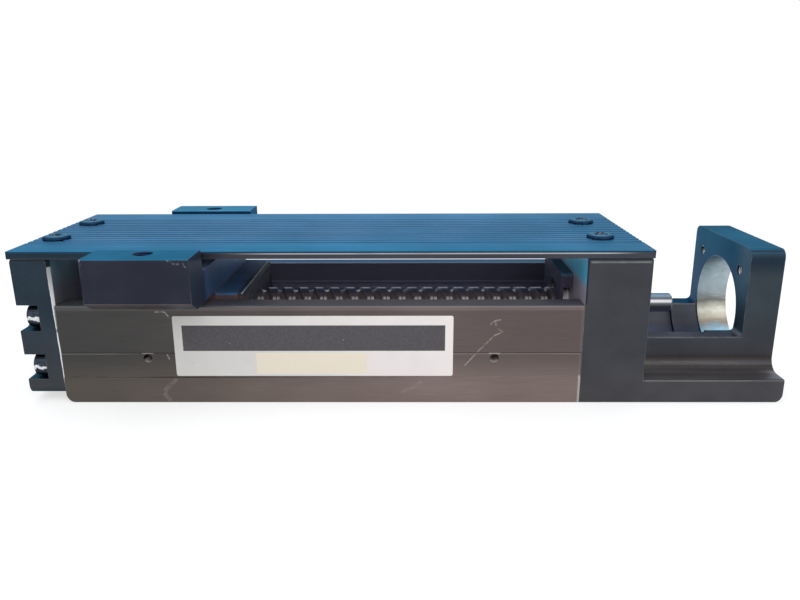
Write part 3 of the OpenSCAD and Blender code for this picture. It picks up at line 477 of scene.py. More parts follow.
def table_finish():
    """The carriage's table and wings: darker than the cover, with painted sky reflection on their upper faces and the
    far wing's end, and painted light and shade elsewhere.
    """
    finish = Finish("anodised table", roughness=0.44, Specular_Tint=BLUE_SHEEN, Specular_IOR_Level=0.15)
    near_far = finish.ramp(finish.y, -10 * MM, 10 * MM)
    face = finish.mix(near_far, (0.028, 0.030, 0.044), (0.012, 0.036, 0.085))
    # Downward faces painted pale, a painted reflection of the rail below.
    face = finish.mix(finish.ramp(finish.nz, -0.3, -0.6), face, (0.205, 0.165, 0.165))
    raised = finish.ramp(finish.z, COVER_LOW.z - 2 * MM, COVER_LOW.z)
    # Upper faces painted blue as a sky reflection; those low under the cover painted pale blue as painted light.
    top = finish.mix(near_far, (0.016, 0.104, 0.196), (0.038, 0.184, 0.300))
    top = finish.mix(raised, (0.38, 0.48, 0.72), top)
    across = finish.ramp(finish.math("ABSOLUTE", finish.nx), 0.4, 0.85)
    inner = finish.mix(finish.ramp(finish.y, -24 * MM, 0), (0.039, 0.080, 0.174), (0.054, 0.143, 0.350))
    end = finish.mix(finish.ramp(finish.math("ABSOLUTE", finish.y), 30 * MM, 33 * MM), inner, (0.022, 0.031, 0.056))
    # The far wing's end painted blue as a sky reflection.
    far_end = finish.times(across, finish.ramp(finish.y, 30 * MM, 33 * MM))
    end = finish.mix(far_end, end, (0.009, 0.054, 0.137))
    colour = finish.mix(across, face, end)
    upward = finish.ramp(finish.nz, 0.35, 0.85)
    within = finish.larger(finish.times(across, finish.minus(1.0, far_end)), finish.times(upward, finish.minus(1.0, raised)))
    finish.set("Metallic", finish.ramp(within, 0, 1, 1.0, 0.2))
    colour = finish.mix(upward, colour, top)
    mill = finish.noise(0.3 * MM, 3, stretch=(0.05, 1, 1))
    colour = cloudy(finish, finish.shade(colour, finish.ramp(mill, 0.3, 0.7, 0.97, 1.03)), 12 * MM)
    # Worn edges, lightened in patches, which also stand in for painted edge highlights.
    colour = rubbed(finish, colour, (0.22, 0.24, 0.28), 0.3 * MM, 4 * MM)
    # Painted shade in the mouths of the tapped holes.
    colour = finish.mix(tapped_mouths(finish), colour, (0.012, 0.022, 0.055))
    x0, x1, z1 = TABLE_LOW.x / MM, TABLE_HIGH.x / MM, TABLE_HIGH.z / MM
    marks = finish.larger(
        finish.drawn([(x1 - 5.4, z1 - 0.4), (x1 - 3.6, z1 - 1.3), (x1 - 2.6, z1 - 1.2)], 0.3 * MM),
        finish.drawn([(x1 - 1.6, z1 - 0.1), (x1 - 0.9, z1 - 2.0)], 0.35 * MM))
    marks = finish.larger(marks, finish.drawn([(x0 + 0.2, z1 - 0.2), (x0 + 0.4, z1 - 1.8)], 0.3 * MM))
    colour = finish.mix(finish.times(marks, finish.ramp(finish.noise(0.8 * MM, 3), 0.4, 0.6), 0.35), colour, (0.26, 0.26, 0.29))
    finish.bump(mill, 0.010 * MM, 0.25)
    return finish.done(colour)


def tapped_mouths(finish):
    """The two threaded holes in the wings and the bevels round their mouths."""
    hole = MOUNTS["wing_screws"]["dims"]
    dx = finish.minus(finish.x, TABLE_X)
    dy = finish.minus(finish.math("ABSOLUTE", finish.y), hole["spacing_y_mm"] / 2 * MM)
    away = finish.math("SQRT", finish.plus(finish.times(dx, dx), finish.times(dy, dy)))
    radius = hole["hole_r_mm"] * MM
    return finish.ramp(away, radius + 0.36 * MM, radius + 0.26 * MM)


HOLES_MIDDLE = -24.0 * MM
HOLES_APART = 100.0 * MM


def rail_finish():
    """Ground, blackened steel, painted paler and warmer towards the motor end as painted light, and paler towards the
    foot.
    """
    finish = Finish("blackened rail steel", roughness=0.45, Specular_Tint=DULL_SHEEN, Specular_IOR_Level=0.2)
    aside = finish.math("ABSOLUTE", finish.y)
    # Painted light: the side lighter and warmer towards the motor end.
    warm = finish.ramp(finish.x, RAIL_LOW.x, RAIL_LOW.x + 110 * MM)
    upper = finish.mix(warm, (0.056, 0.056, 0.055), (0.110, 0.088, 0.086))
    lower = finish.mix(warm, (0.100, 0.088, 0.079), (0.200, 0.156, 0.142))
    colour = finish.mix(finish.ramp(finish.z, 16 * MM, 4 * MM), upper, lower)
    colour = finish.shade(colour, finish.ramp(finish.x, RAIL_HIGH.x - 50 * MM, RAIL_HIGH.x, 1.0, 0.90))
    # Painted highlight below the top edge.
    brow = finish.ramp(finish.z, RAIL_HIGH.z - 1.7 * MM, RAIL_HIGH.z - 1.2 * MM, 1.0, 1.4)
    colour = finish.shade(colour, brow)
    reference = finish.between(finish.z, 14.95 * MM, 15.45 * MM, 0.1 * MM)
    colour = finish.mix(finish.times(reference, 0.22), colour, (0.20, 0.18, 0.17))
    # Up-facing ledges painted darker below 12 mm and lighter above 13 mm, as painted shade and painted light.
    ledge = finish.times(finish.ramp(finish.nz, 0.3, 0.6), finish.ramp(finish.z, 21 * MM, 19 * MM))
    lip = finish.ramp(finish.x, -60 * MM, 40 * MM, 0.45, 0.75)
    line = finish.ramp(finish.x, -60 * MM, 40 * MM, 1.5, 1.4)
    lip = finish.ramp(finish.z, 12 * MM, 13 * MM, lip, line)
    colour = finish.shade(colour, finish.ramp(ledge, 0, 1, 1.0, lip))
    # Painted highlight along the motor end's edge.
    end = finish.times(finish.ramp(finish.x, RAIL_HIGH.x - 0.75 * MM, RAIL_HIGH.x - 0.5 * MM), finish.ramp(finish.z, 9 * MM, 8 * MM, 0.12, 1.0))
    colour = finish.mix(finish.times(end, finish.ramp(aside, 28 * MM, 29 * MM), 0.5), colour, (0.50, 0.47, 0.44))
    colour = finish.mix(rail_marks(finish), colour, (0.30, 0.27, 0.245))
    # Inner walls lifted in colour as painted light, more so below the race groove.
    inside = finish.times(finish.ramp(aside, 25.2 * MM, 25.0 * MM), finish.ramp(finish.z, 4.5 * MM, 5.5 * MM))
    grooved = finish.mix(finish.ramp(finish.z, 23.6 * MM, 23.2 * MM), (0.13, 0.13, 0.20), (0.27, 0.27, 0.40))
    colour = finish.mix(inside, colour, grooved)
    # Top faces painted blue as a sky reflection.
    top = finish.times(finish.ramp(finish.nz, 0.5, 0.85), finish.ramp(finish.z, 20 * MM, 25 * MM))
    near_top = finish.times(top, finish.ramp(finish.y, 5 * MM, -5 * MM))
    colour = finish.mix(top, colour, (0.030, 0.100, 0.205))
    strip = finish.mix(finish.ramp(finish.x, RAIL_LOW.x + 24 * MM, RAIL_LOW.x), (0.106, 0.104, 0.126), (0.080, 0.080, 0.082))
    colour = finish.mix(near_top, colour, strip)
    # Side holes: painted highlight on their up-facing inner faces, painted shade elsewhere inside.
    drilled = finish.times(finish.between(aside, 24.2 * MM, 29.6 * MM, 0.1 * MM), finish.ramp(finish.z, 16 * MM, 15.8 * MM),
                           finish.ramp(finish.z, 11.8 * MM, 12 * MM), finish.ramp(finish.math("ABSOLUTE", finish.nx), 0.98, 0.95))
    from_middle = finish.math("ABSOLUTE", finish.minus(finish.x, HOLES_MIDDLE))
    from_hole = finish.math("ABSOLUTE", finish.minus(from_middle, HOLES_APART / 2))
    drilled = finish.times(drilled, finish.ramp(from_hole, 1.8 * MM, 1.5 * MM))
    hole = finish.mix(finish.ramp(finish.nz, 0.3, 0.8), (0.16, 0.125, 0.12), (0.62, 0.58, 0.56))
    colour = finish.mix(drilled, colour, hole)
    finish.set("Metallic", finish.ramp(finish.larger(finish.larger(inside, drilled), near_top), 0, 1, 1.0, 0.15))
    ground = finish.noise(0.25 * MM, 4, stretch=(0.02, 1, 1))
    colour = finish.shade(colour, finish.ramp(ground, 0.3, 0.7, 0.94, 1.06))
    colour = finish.shade(colour, finish.ramp(finish.noise(22 * MM, 5, stretch=(0.6, 1, 1)), 0.35, 0.65, 0.92, 1.07))
    # Worn edges, which also stand in for painted edge highlights.
    worn = finish.times(finish.edges(0.3 * MM), finish.ramp(finish.noise(5 * MM, 5), 0.42, 0.64, 0.05, 0.45))
    plain = finish.ramp(finish.math("ABSOLUTE", finish.minus(finish.z, 15.2 * MM)), 0.5 * MM, 0.9 * MM)
    colour = finish.mix(finish.times(worn, plain, finish.ramp(finish.y, 20 * MM, 10 * MM)), colour, (0.36, 0.33, 0.30))
    finish.bump(ground, 0.008 * MM, 0.4)
    return finish.done(colour)


def rail_marks(finish):
    """Scratches on the near side, by the label's two ends and below it."""
    sharp = [
        [(17.6, 11.6), (22.0, 16.6), (26.0, 20.7), (28.2, 21.6), (26.8, 22.6)],
        [(24.7, 24.0), (25.9, 25.0), (27.4, 25.3)],
        [(25.9, 25.0), (26.2, 23.6)],
        [(-70.6, 27.7), (-68.0, 27.7), (-66.9, 26.2)],
        [(-68.3, 14.8), (-67.8, 13.5)],
    ]
    faint = [
        [(-66.4, 7.1), (-69.6, 4.2), (-69.9, 2.4), (-68.6, 0.9)],
        [(-0.6, 3.4), (2.4, 4.6), (4.9, 6.4)],
    ]
    marks = 0.0
    for points in sharp:
        marks = finish.larger(marks, finish.drawn(points, 0.28 * MM))
    smears = 0.0
    for points in faint:
        smears = finish.larger(smears, finish.drawn(points, 0.8 * MM))
    broken = finish.ramp(finish.noise(1.0 * MM, 3), 0.36, 0.56, 0.2, 0.75)
    return finish.times(finish.larger(marks, finish.times(smears, 0.35)), broken)


def steel_finish(name, colour, roughness, turned_x=True, pitch=0.25 * MM, depth=0.22):
    """Bright steel with fine turning or grinding marks round the X axis."""
    finish = Finish(name, metallic=1.0, roughness=roughness)
    stretch = (1, 0.03, 0.03) if turned_x else (0.05, 1, 1)
    marks = finish.noise(pitch, 3, stretch=stretch)
    cloud = finish.noise(4 * MM, 4)
    tone = finish.shade(colour, finish.ramp(marks, 0.3, 0.7, 1 - depth, 1 + depth / 2))
    tone = finish.shade(tone, finish.ramp(cloud, 0.3, 0.7, 0.85, 1.08))
    finish.set("Roughness", finish.ramp(cloud, 0.3, 0.7, roughness * 0.8, roughness * 1.35))
    finish.bump(marks, 0.01 * MM, 0.5)
    return finish.done(tone)


def screw_finish():
    """Oiled ball screw: dark in its grooves, with painted highlights on the crests' edges, painted reflection pale low
    and bluish high on the thread, and bands of painted reflection round its plain end.
    """
    finish = Finish("oiled screw steel", roughness=0.34, Specular_Tint=DULL_SHEEN, Specular_IOR_Level=0.3)
    marks = finish.noise(0.2 * MM, 3, stretch=(1, 0.03, 0.03))
    height = finish.minus(finish.z, SHAFT_Z)
    # Painted reflection: paler low on the thread, bluish higher up.
    thread = finish.mix(finish.ramp(height, 3.6 * MM, 4.5 * MM), (0.26, 0.205, 0.225), (0.14, 0.165, 0.26))
    # Painted highlight on the crests' edges.
    thread = finish.mix(finish.times(finish.edges(0.22 * MM), 0.8), thread, (0.80, 0.82, 0.88))
    # Painted highlight along the near crests.
    crest = finish.times(finish.ramp(finish.y, -0.6 * MM, -0.1 * MM), finish.ramp(finish.radius(), 4.8 * MM, 4.9 * MM))
    thread = finish.mix(finish.times(crest, 0.85), thread, (0.80, 0.84, 0.92))
    thread = finish.mix(finish.times(glints(finish, height), 0.95), thread, (1.0, 0.98, 0.94))
    # Bands of painted reflection round the plain end, by which way each face looks.
    plain = finish.stops(finish.nz, (-0.62, (0.55, 0.55, 0.66)), (-0.22, (0.34, 0.35, 0.41)), (0.12, (0.078, 0.078, 0.085)),
                         (0.39, (0.44, 0.44, 0.485)), (0.63, (0.062, 0.064, 0.074)), (0.86, (0.130, 0.190, 0.255)))
    outside = finish.ramp(finish.x, RAIL_HIGH.x, RAIL_HIGH.x + 4 * MM)
    finish.set("Metallic", finish.ramp(outside, 0, 1, 0.35, 1.0))
    finish.bump(marks, 0.01 * MM, 0.5)
    colour = finish.mix(outside, thread, plain)
    deep = finish.times(finish.minus(marks, 0.5), finish.ramp(outside, 0, 1, 0.75, 0.28))
    return finish.done(finish.shade(colour, finish.plus(deep, 0.98)))


def glints(finish, height):
    """Painted glints on the oiled thread: two low on every crest, and one at the top of each lead."""
    pitch = LEAD / STARTS
    level = finish.times(finish.between(height, 1.8 * MM, 3.1 * MM, 0.2 * MM), finish.ramp(finish.y, 0, -1 * MM))
    first = DAMPER_HIGH.x + 0.8 * MM + LEAD * 2 / 3 + pitch / 2
    across = finish.math("ABSOLUTE", finish.math("WRAP", finish.minus(finish.x, first), pitch / 2, -pitch / 2))
    low = finish.times(level, finish.between(across, 0.15 * MM, 1.0 * MM, 0.12 * MM))
    turn = finish.math("WRAP", finish.minus(finish.x, first + 0.7 * MM), LEAD / 2, -LEAD / 2)
    high = finish.times(finish.ramp(finish.math("ABSOLUTE", turn), 0.8 * MM, 0.5 * MM),
                        finish.between(height, 3.7 * MM, 4.6 * MM, 0.15 * MM),
                        finish.between(finish.y, -1.1 * MM, 0.4 * MM, 0.2 * MM))
    return finish.larger(low, high)


def rubber_finish(name, colour, speck=(0.12, 0.12, 0.13), lip=0.3):
    finish = Finish(name, roughness=0.62, Specular_IOR_Level=0.25)
    grain = finish.noise(0.35 * MM, 4)
    tone = finish.shade(colour, finish.ramp(grain, 0.3, 0.7, 0.75, 1.3))
    dust = finish.ramp(finish.cells(1.4 * MM), 0.10, 0.05)
    dust = finish.times(dust, finish.ramp(finish.noise(3 * MM, 2), 0.5, 0.6))
    tone = finish.mix(dust, tone, speck)
    tone = finish.mix(finish.times(finish.edges(0.25 * MM), lip), tone, speck)
    finish.bump(grain, 0.03 * MM, 0.6)
    return finish.done(tone)


def seal_finish():
    """Dark seal plates whose upper face is painted blue as a sky reflection, with a thin painted highlight where the
    bevel begins.
    """
    finish = Finish("seal rubber", roughness=0.55, Specular_IOR_Level=0.05)
    half = (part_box("end_seal_motor_side")[1].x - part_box("end_seal_far_side")[0].x) / 2
    outward = finish.minus(finish.math("ABSOLUTE", finish.minus(finish.x, TABLE_X)), half)
    grain = finish.noise(0.35 * MM, 4)
    facing = finish.ramp(finish.math("ABSOLUTE", finish.nx), 0.5, 0.8)
    colour = finish.mix(facing, (0.072, 0.048, 0.048), (0.110, 0.110, 0.145))
    # Upper face painted blue as a sky reflection.
    upper = finish.mix(finish.ramp(finish.y, -5 * MM, 14 * MM), (0.060, 0.090, 0.150), (0.085, 0.190, 0.310))
    colour = finish.mix(finish.ramp(finish.nz, 0.4, 0.8), colour, upper)
    colour = finish.shade(colour, finish.ramp(grain, 0.3, 0.7, 0.85, 1.2))
    bevel = finish.times(finish.ramp(finish.nz, 0.4, 0.6), finish.ramp(outward, -0.95 * MM, -0.85 * MM))
    colour = finish.mix(bevel, colour, (0.024, 0.036, 0.062))
    # Thin painted highlight where the bevel begins.
    line = finish.times(finish.between(outward, -1.05 * MM, -0.80 * MM, 0.05 * MM), finish.ramp(finish.nz, 0.4, 0.6))
    colour = finish.mix(finish.times(line, finish.ramp(finish.noise(3 * MM, 3), 0.3, 0.5, 0.6, 1.0)), colour, (0.80, 0.90, 0.98))
    dust = finish.times(finish.ramp(finish.cells(1.4 * MM), 0.12, 0.05), finish.ramp(finish.noise(3 * MM, 2), 0.48, 0.58))
    colour = finish.mix(dust, colour, (0.34, 0.37, 0.42))
    finish.bump(grain, 0.02 * MM, 0.5)
    return finish.done(colour)


def damper_finish():
    """Black rubber with a few pale specks, its upper face painted blue-grey as a sky reflection and its edges painted
    bluish as highlights.
    """
    finish = Finish("damper rubber", roughness=0.55, Specular_IOR_Level=0.08)
    grain = finish.noise(0.35 * MM, 4)
    colour = finish.mix(finish.ramp(finish.nx, -0.4, -0.8), (0.095, 0.076, 0.125), (0.086, 0.092, 0.165))
    # Upper face painted blue-grey as a sky reflection.
    colour = finish.mix(finish.ramp(finish.nz, 0.25, 0.7), colour, (0.120, 0.190, 0.290))
    colour = finish.shade(colour, finish.ramp(grain, 0.3, 0.7, 0.8, 1.25))
    bored = finish.times(finish.ramp(finish.radius(), 8.9 * MM, 8.7 * MM), finish.ramp(finish.math("ABSOLUTE", finish.nx), 0.6, 0.3))
    colour = finish.mix(bored, colour, (0.26, 0.27, 0.42))
    specks = finish.times(finish.ramp(finish.cells(1.3 * MM), 0.13, 0.06), finish.ramp(finish.noise(2.6 * MM, 2), 0.46, 0.56))
    colour = finish.mix(specks, colour, (0.34, 0.37, 0.42))
    # Edges painted bluish as highlights.
    colour = finish.mix(finish.times(finish.edges(0.25 * MM), 0.35), colour, (0.22, 0.28, 0.38))
    finish.bump(grain, 0.02 * MM, 0.5)
    return finish.done(colour)


def block_finish(name, colour, side, roughness=0.45, metallic=0.0):
    """The carriage's inner pieces: dark and oily on top, their upper part painted blue as a sky reflection, red-brown
    with grime low on their sides, and edges painted as bluish highlights.
    """
    finish = Finish(name, metallic=metallic, roughness=roughness, Specular_IOR_Level=0.25)
    grain = finish.noise(0.5 * MM, 4)
    low = finish.ramp(finish.z, 31.2 * MM, 29.6 * MM)
    # Upper part in the colour given, its blue a painted sky reflection.
    tone = finish.mix(low, colour, side)
    tone = finish.shade(tone, finish.ramp(grain, 0.3, 0.7, 0.85, 1.15))
    tone = finish.mix(finish.ramp(finish.noise(5 * MM, 4), 0.5, 0.7, 0, 0.5), tone, (0.03, 0.03, 0.045))
    # Edges painted as bluish highlights.
    tone = finish.mix(finish.times(finish.edges(0.25 * MM), 0.8), tone, (0.20, 0.26, 0.34))
    finish.bump(grain, 0.02 * MM, 0.5)
    return finish.done(tone)


def oxide_finish(name, colour, bright):
    """Blackened screws with edges lightened, partly wear and partly painted highlight, and a bright band low on the
    knurled heads that is a painted reflection of the floor.
    """
    finish = Finish(name, roughness=0.34, Specular_Tint=DULL_SHEEN)
    cloud = finish.noise(1.2 * MM, 4)
    tone = finish.shade(colour, finish.ramp(cloud, 0.3, 0.7, 0.75, 1.25))
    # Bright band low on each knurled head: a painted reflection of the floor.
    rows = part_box("rail_screws_far_end")
    first, step = rows[1].z - HEAD_RADIUS, rows[1].z - rows[0].z - 2 * HEAD_RADIUS
    below = finish.math("WRAP", finish.minus(finish.z, first), step / 2, -step / 2)
    below = finish.plus(below, finish.times(finish.minus(cloud, 0.5), 2.6 * MM))
    low = finish.times(finish.between(below, -0.75 * MM, 0.35 * MM, 0.12 * MM), finish.ramp(finish.math("ABSOLUTE", finish.nx), 0.5, 0.3))
    # Edges lightened: wear and painted highlight.
    tone = finish.mix(finish.times(finish.edges(0.2 * MM), 0.5), tone, bright)
    tone = finish.mix(low, tone, (0.82, 0.84, 0.88))
    finish.set("Metallic", finish.ramp(low, 0, 1, 0.95, 0.1))
    finish.bump(finish.noise(0.25 * MM, 3), 0.01 * MM, 0.5)
    return finish.done(tone)


def truss_finish(centre_x, half_x, half_y):
    """Dulled cover screws: the crown painted blue as a sky reflection, painted shade round the rim and in the recess,
    and a warm painted glint in it.
    """
    finish = Finish("dulled cover screws", metallic=0.95, roughness=0.40, Specular_Tint=BLUE_SHEEN)
    dx = finish.minus(finish.math("ABSOLUTE", finish.minus(finish.x, centre_x)), half_x)
    dy = finish.minus(finish.math("ABSOLUTE", finish.y), half_y)
    away = finish.math("SQRT", finish.plus(finish.times(dx, dx), finish.times(dy, dy)))
    cloud = finish.noise(0.9 * MM, 4)
    # Crown painted blue as a sky reflection, rim painted dark as shade.
    colour = finish.mix(finish.ramp(away, 3.0 * MM, 3.6 * MM), (0.070, 0.150, 0.220), (0.010, 0.026, 0.058))
    # Recess painted dark as shade.
    colour = finish.mix(finish.ramp(away, 2.1 * MM, 1.6 * MM), colour, (0.016, 0.034, 0.062))
    # Warm painted glint in the recess.
    glint = finish.times(finish.ramp(away, 1.7 * MM, 1.2 * MM), finish.ramp(finish.ny, -0.05, -0.3), finish.ramp(cloud, 0.40, 0.55))
    colour = finish.mix(finish.times(glint, 0.5), colour, (0.44, 0.36, 0.34))
    colour = finish.shade(colour, finish.ramp(cloud, 0.3, 0.7, 0.85, 1.15))
    finish.bump(finish.noise(0.25 * MM, 3), 0.01 * MM, 0.5)
    return finish.done(colour)


def label_finish(low, high):
    """White label with a bare dark band and a bare cream field. It carries no lettering."""
    finish = Finish("printed label", roughness=0.55, Specular_IOR_Level=0.1)
    # Paper painted darker towards its left end, as painted light.
    paper = finish.mix(finish.ramp(finish.x, low.x, high.x), (0.76, 0.746, 0.722), (0.95, 0.89, 0.875))
    paper = finish.shade(paper, finish.ramp(finish.noise(9 * MM, 4), 0.35, 0.7, 1.0, 0.96))

    def field(left, bottom, right, top):
        """Inside a rectangle given by its distances from the label's lower left corner, in millimetres."""
        across = finish.between(finish.x, low.x + left * MM, low.x + right * MM, 0.08 * MM)
        return finish.times(across, finish.between(finish.z, low.z + bottom * MM, low.z + top * MM, 0.08 * MM))

    colour = finish.mix(field(23.4, 0.7, 55.3, 7.1), paper, (0.92, 0.83, 0.69))
    band = finish.shade((0.105, 0.0985, 0.1075), finish.ramp(finish.noise(0.6 * MM, 3), 0.3, 0.7, 0.9, 1.1))
    colour = finish.mix(field(2.5, 7.7, (high.x - low.x) / MM - 2.3, 15.4), colour, band)
    fleck = finish.times(finish.ramp(finish.cells(3 * MM), 0.07, 0.03), finish.ramp(finish.noise(8 * MM, 2), 0.5, 0.6))
    colour = finish.mix(fleck, colour, (0.42, 0.38, 0.34))
    finish.bump(finish.noise(0.8 * MM, 3), 0.01 * MM, 0.4)
    return finish.done(colour)


# ---------- shapes ----------

def new_piece(name, mesh, finish, body, replaced=()):
    """A finished piece at the origin, with its place in its mesh."""
    piece = bpy.data.objects.new(name, mesh)
    bpy.context.scene.collection.objects.link(piece)
    mesh.materials.clear()
    mesh.materials.append(finish)
    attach(piece, body)
    if replaced:
        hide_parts(*replaced)
    return piece


def ring(height, radius, count):
    """Points round the Z axis. The radius is a number or a function of the angle."""
    points = []
    for step in range(count):
        angle = TURN * step / count
        r = radius(angle) if callable(radius) else radius
        points.append(Vector((r * math.cos(angle), r * math.sin(angle), height)))
    return points


def lofted(name, rings, smooth_angle=35):
    """Skins rings of equal count, from the first to the last, and closes both ends."""
    shape = bmesh.new()
    rows = [[shape.verts.new(point) for point in points] for points in rings]
    count = len(rows[0])
    for low, high in zip(rows, rows[1:]):
        for i in range(count):
            j = (i + 1) % count
            shape.faces.new((low[i], low[j], high[j], high[i]))
    for row in (rows[0], rows[-1]):
        middle = shape.verts.new(sum((v.co for v in row), Vector()) / count)
        for i in range(count):
            shape.faces.new((middle, row[i], row[(i + 1) % count]))
    return meshed(name, shape, smooth_angle)


def meshed(name, shape, smooth_angle=35):
    bmesh.ops.remove_doubles(shape, verts=shape.verts, dist=1e-7)
    bmesh.ops.recalc_face_normals(shape, faces=shape.faces)
    for face in shape.faces:
        face.smooth = True
    sharp = math.radians(smooth_angle)
    for line in shape.edges:
        line.smooth = line.is_manifold and line.calc_face_angle(0.0) < sharp
    mesh = bpy.data.meshes.new(name)
    shape.to_mesh(mesh)
    shape.free()
    return mesh


def joined(name, meshes, smooth_angle=35):
    shape = bmesh.new()
    for mesh in meshes:
        shape.from_mesh(mesh)
    return meshed(name, shape, smooth_angle)


def hexagon(across):
    """Radius of a hexagon of that width over its flats, by angle."""
    def radius(angle):
        fold = (angle + TURN / 12) % (TURN / 6) - TURN / 12
        return across / 2 / math.cos(fold)
    return radius


def cross(length, width):
    """Radius of a cross with arms of that length from the middle and that full width, by angle."""
    half = width / 2

    def radius(angle):
        fold = abs((angle + TURN / 8) % (TURN / 4) - TURN / 8)
        return length / math.cos(fold) if math.tan(fold) < half / length else half / math.sin(fold)
    return radius


def cap_screw_head(d):
    """Knurled head of a socket head cap screw, with its seat at z = 0 and its socket up."""
    radius, height, count = HEAD_RADIUS, d, 144

    def knurl(angle):
        return radius * (1 - 0.028 * abs(math.sin(18 * angle)))
    socket = hexagon(0.87 * d)
    rings = [
        ring(0, radius * 0.93, count),
        ring(0.05 * height, radius * 0.965, count),
        ring(0.12 * height, knurl, count),
        ring(0.80 * height, knurl, count),
        ring(0.88 * height, radius * 0.965, count),
        ring(0.96 * height, radius * 0.93, count),
        ring(height, radius * 0.86, count),
        ring(height, 0.55 * d, count),
        ring(0.96 * height, socket, count),
        ring(0.50 * height, socket, count),
        ring(0.40 * height, 0.12 * d, count),
    ]
    return lofted("cap_screw_head", rings, 30)


def truss_head(d, rise, recess):
    """Low crowned head with a thin upright rim and a cross recess, with its seat at z = 0."""
    count = 96
    rim = 0.5 * rise
    crown = rise - rim
    dome = (d * d / 4 + crown * crown) / (2 * crown)

    def on_dome(radius):
        return rise - dome + math.sqrt(dome * dome - radius * radius)
    wide, narrow = cross(recess, 0.30 * recess + 0.35 * MM), cross(0.62 * recess, 0.30 * recess)
    rings = [ring(0, d / 2 - 0.08 * MM, count), ring(0.1 * MM, d / 2, count), ring(0.7 * rim, d / 2, count)]
    for share in (0.97, 0.92, 0.84, 0.75, 0.66):
        rings.append(ring(on_dome(share * d / 2), share * d / 2, count))

    def draped(shape, grow, sink=0.0):
        points = ring(0, lambda a: shape(a) * grow, count)
        for point in points:
            point.z = on_dome(math.hypot(point.x, point.y)) - sink
        return points
    rings += [draped(wide, 1.05), draped(wide, 1.0, 0.08 * MM), draped(wide, 0.94, 0.45 * MM)]
    rings.append(ring(0.30 * rise, narrow, count))
    rings.append(ring(0.12 * rise, 0.15 * recess, count))
    return lofted("truss_head", rings, 30)


# ---------- geometry node trees ----------

SOCKETS = {
    "length": "NodeSocketFloat",
    "count": "NodeSocketInt",
    "step": "NodeSocketVector",
    "finish": "NodeSocketMaterial",
}


def tree_with(name, inputs):
    """A geometry tree with named inputs, its Graph and the outputs of its input node by name."""
    tree = bpy.data.node_groups.new(name, "GeometryNodeTree")
    tree.interface.new_socket("Geometry", in_out="OUTPUT", socket_type="NodeSocketGeometry")
    tree.interface.new_socket("Geometry", in_out="INPUT", socket_type="NodeSocketGeometry")
    for label, kind in inputs.items():
        tree.interface.new_socket(label, in_out="INPUT", socket_type=SOCKETS[kind])
    graph = Graph(tree)
    return graph, graph.add("NodeGroupInput").outputs


def close_tree(graph, geometry, finish):
    """Ends a tree: instances made real, and the finish set."""
    real = graph.add("GeometryNodeRealizeInstances")
    paint = graph.add("GeometryNodeSetMaterial")
    out = graph.add("NodeGroupOutput")
    graph.feed(real.inputs[0], geometry)
    graph.feed(paint.inputs["Geometry"], real.outputs[0])
    graph.feed(paint.inputs["Material"], finish)
    graph.feed(out.inputs[0], paint.outputs[0])
    return graph.tree


def grown(tree, name, sizes, start=None):
    """Runs a tree on a starting mesh and returns its result as a plain mesh."""
    host = bpy.data.objects.new(name, start or bpy.data.meshes.new(name))
    bpy.context.scene.collection.objects.link(host)
    modifier = host.modifiers.new("grow", "NODES")
    modifier.node_group = tree
    for item in tree.interface.items_tree:
        if item.in_out == "INPUT" and item.name in sizes:
            modifier[item.identifier] = sizes[item.name]
    graph = bpy.context.evaluated_depsgraph_get()
    mesh = bpy.data.meshes.new_from_object(host.evaluated_get(graph), depsgraph=graph)
    bpy.data.objects.remove(host)
    return mesh


def pattern_tree():
    """Repeats the starting mesh in columns and rows, centred on where it was drawn."""
    graph, given = tree_with("pattern", {
        "Columns": "count", "Column step": "step", "Rows": "count", "Row step": "step", "Finish": "finish",
    })

    def line(count, step):
        node = graph.add("GeometryNodeMeshLine")
        graph.feed(node.inputs["Count"], count)
        graph.feed(node.inputs["Offset"], step)
        half = graph.add("ShaderNodeVectorMath", operation="SCALE")
        graph.feed(half.inputs[0], step)
        graph.feed(half.inputs["Scale"], graph.times(graph.minus(count, 1), -0.5))
        graph.feed(node.inputs["Start Location"], half.outputs[0])
        return node.outputs[0]

    def on_points(points, instance):
        node = graph.add("GeometryNodeInstanceOnPoints")
        graph.feed(node.inputs["Points"], points)
        graph.feed(node.inputs["Instance"], instance)
        return node.outputs[0]

    row = on_points(line(given["Columns"], given["Column step"]), given["Geometry"])
    grid = on_points(line(given["Rows"], given["Row step"]), row)
    return close_tree(graph, grid, given["Finish"])


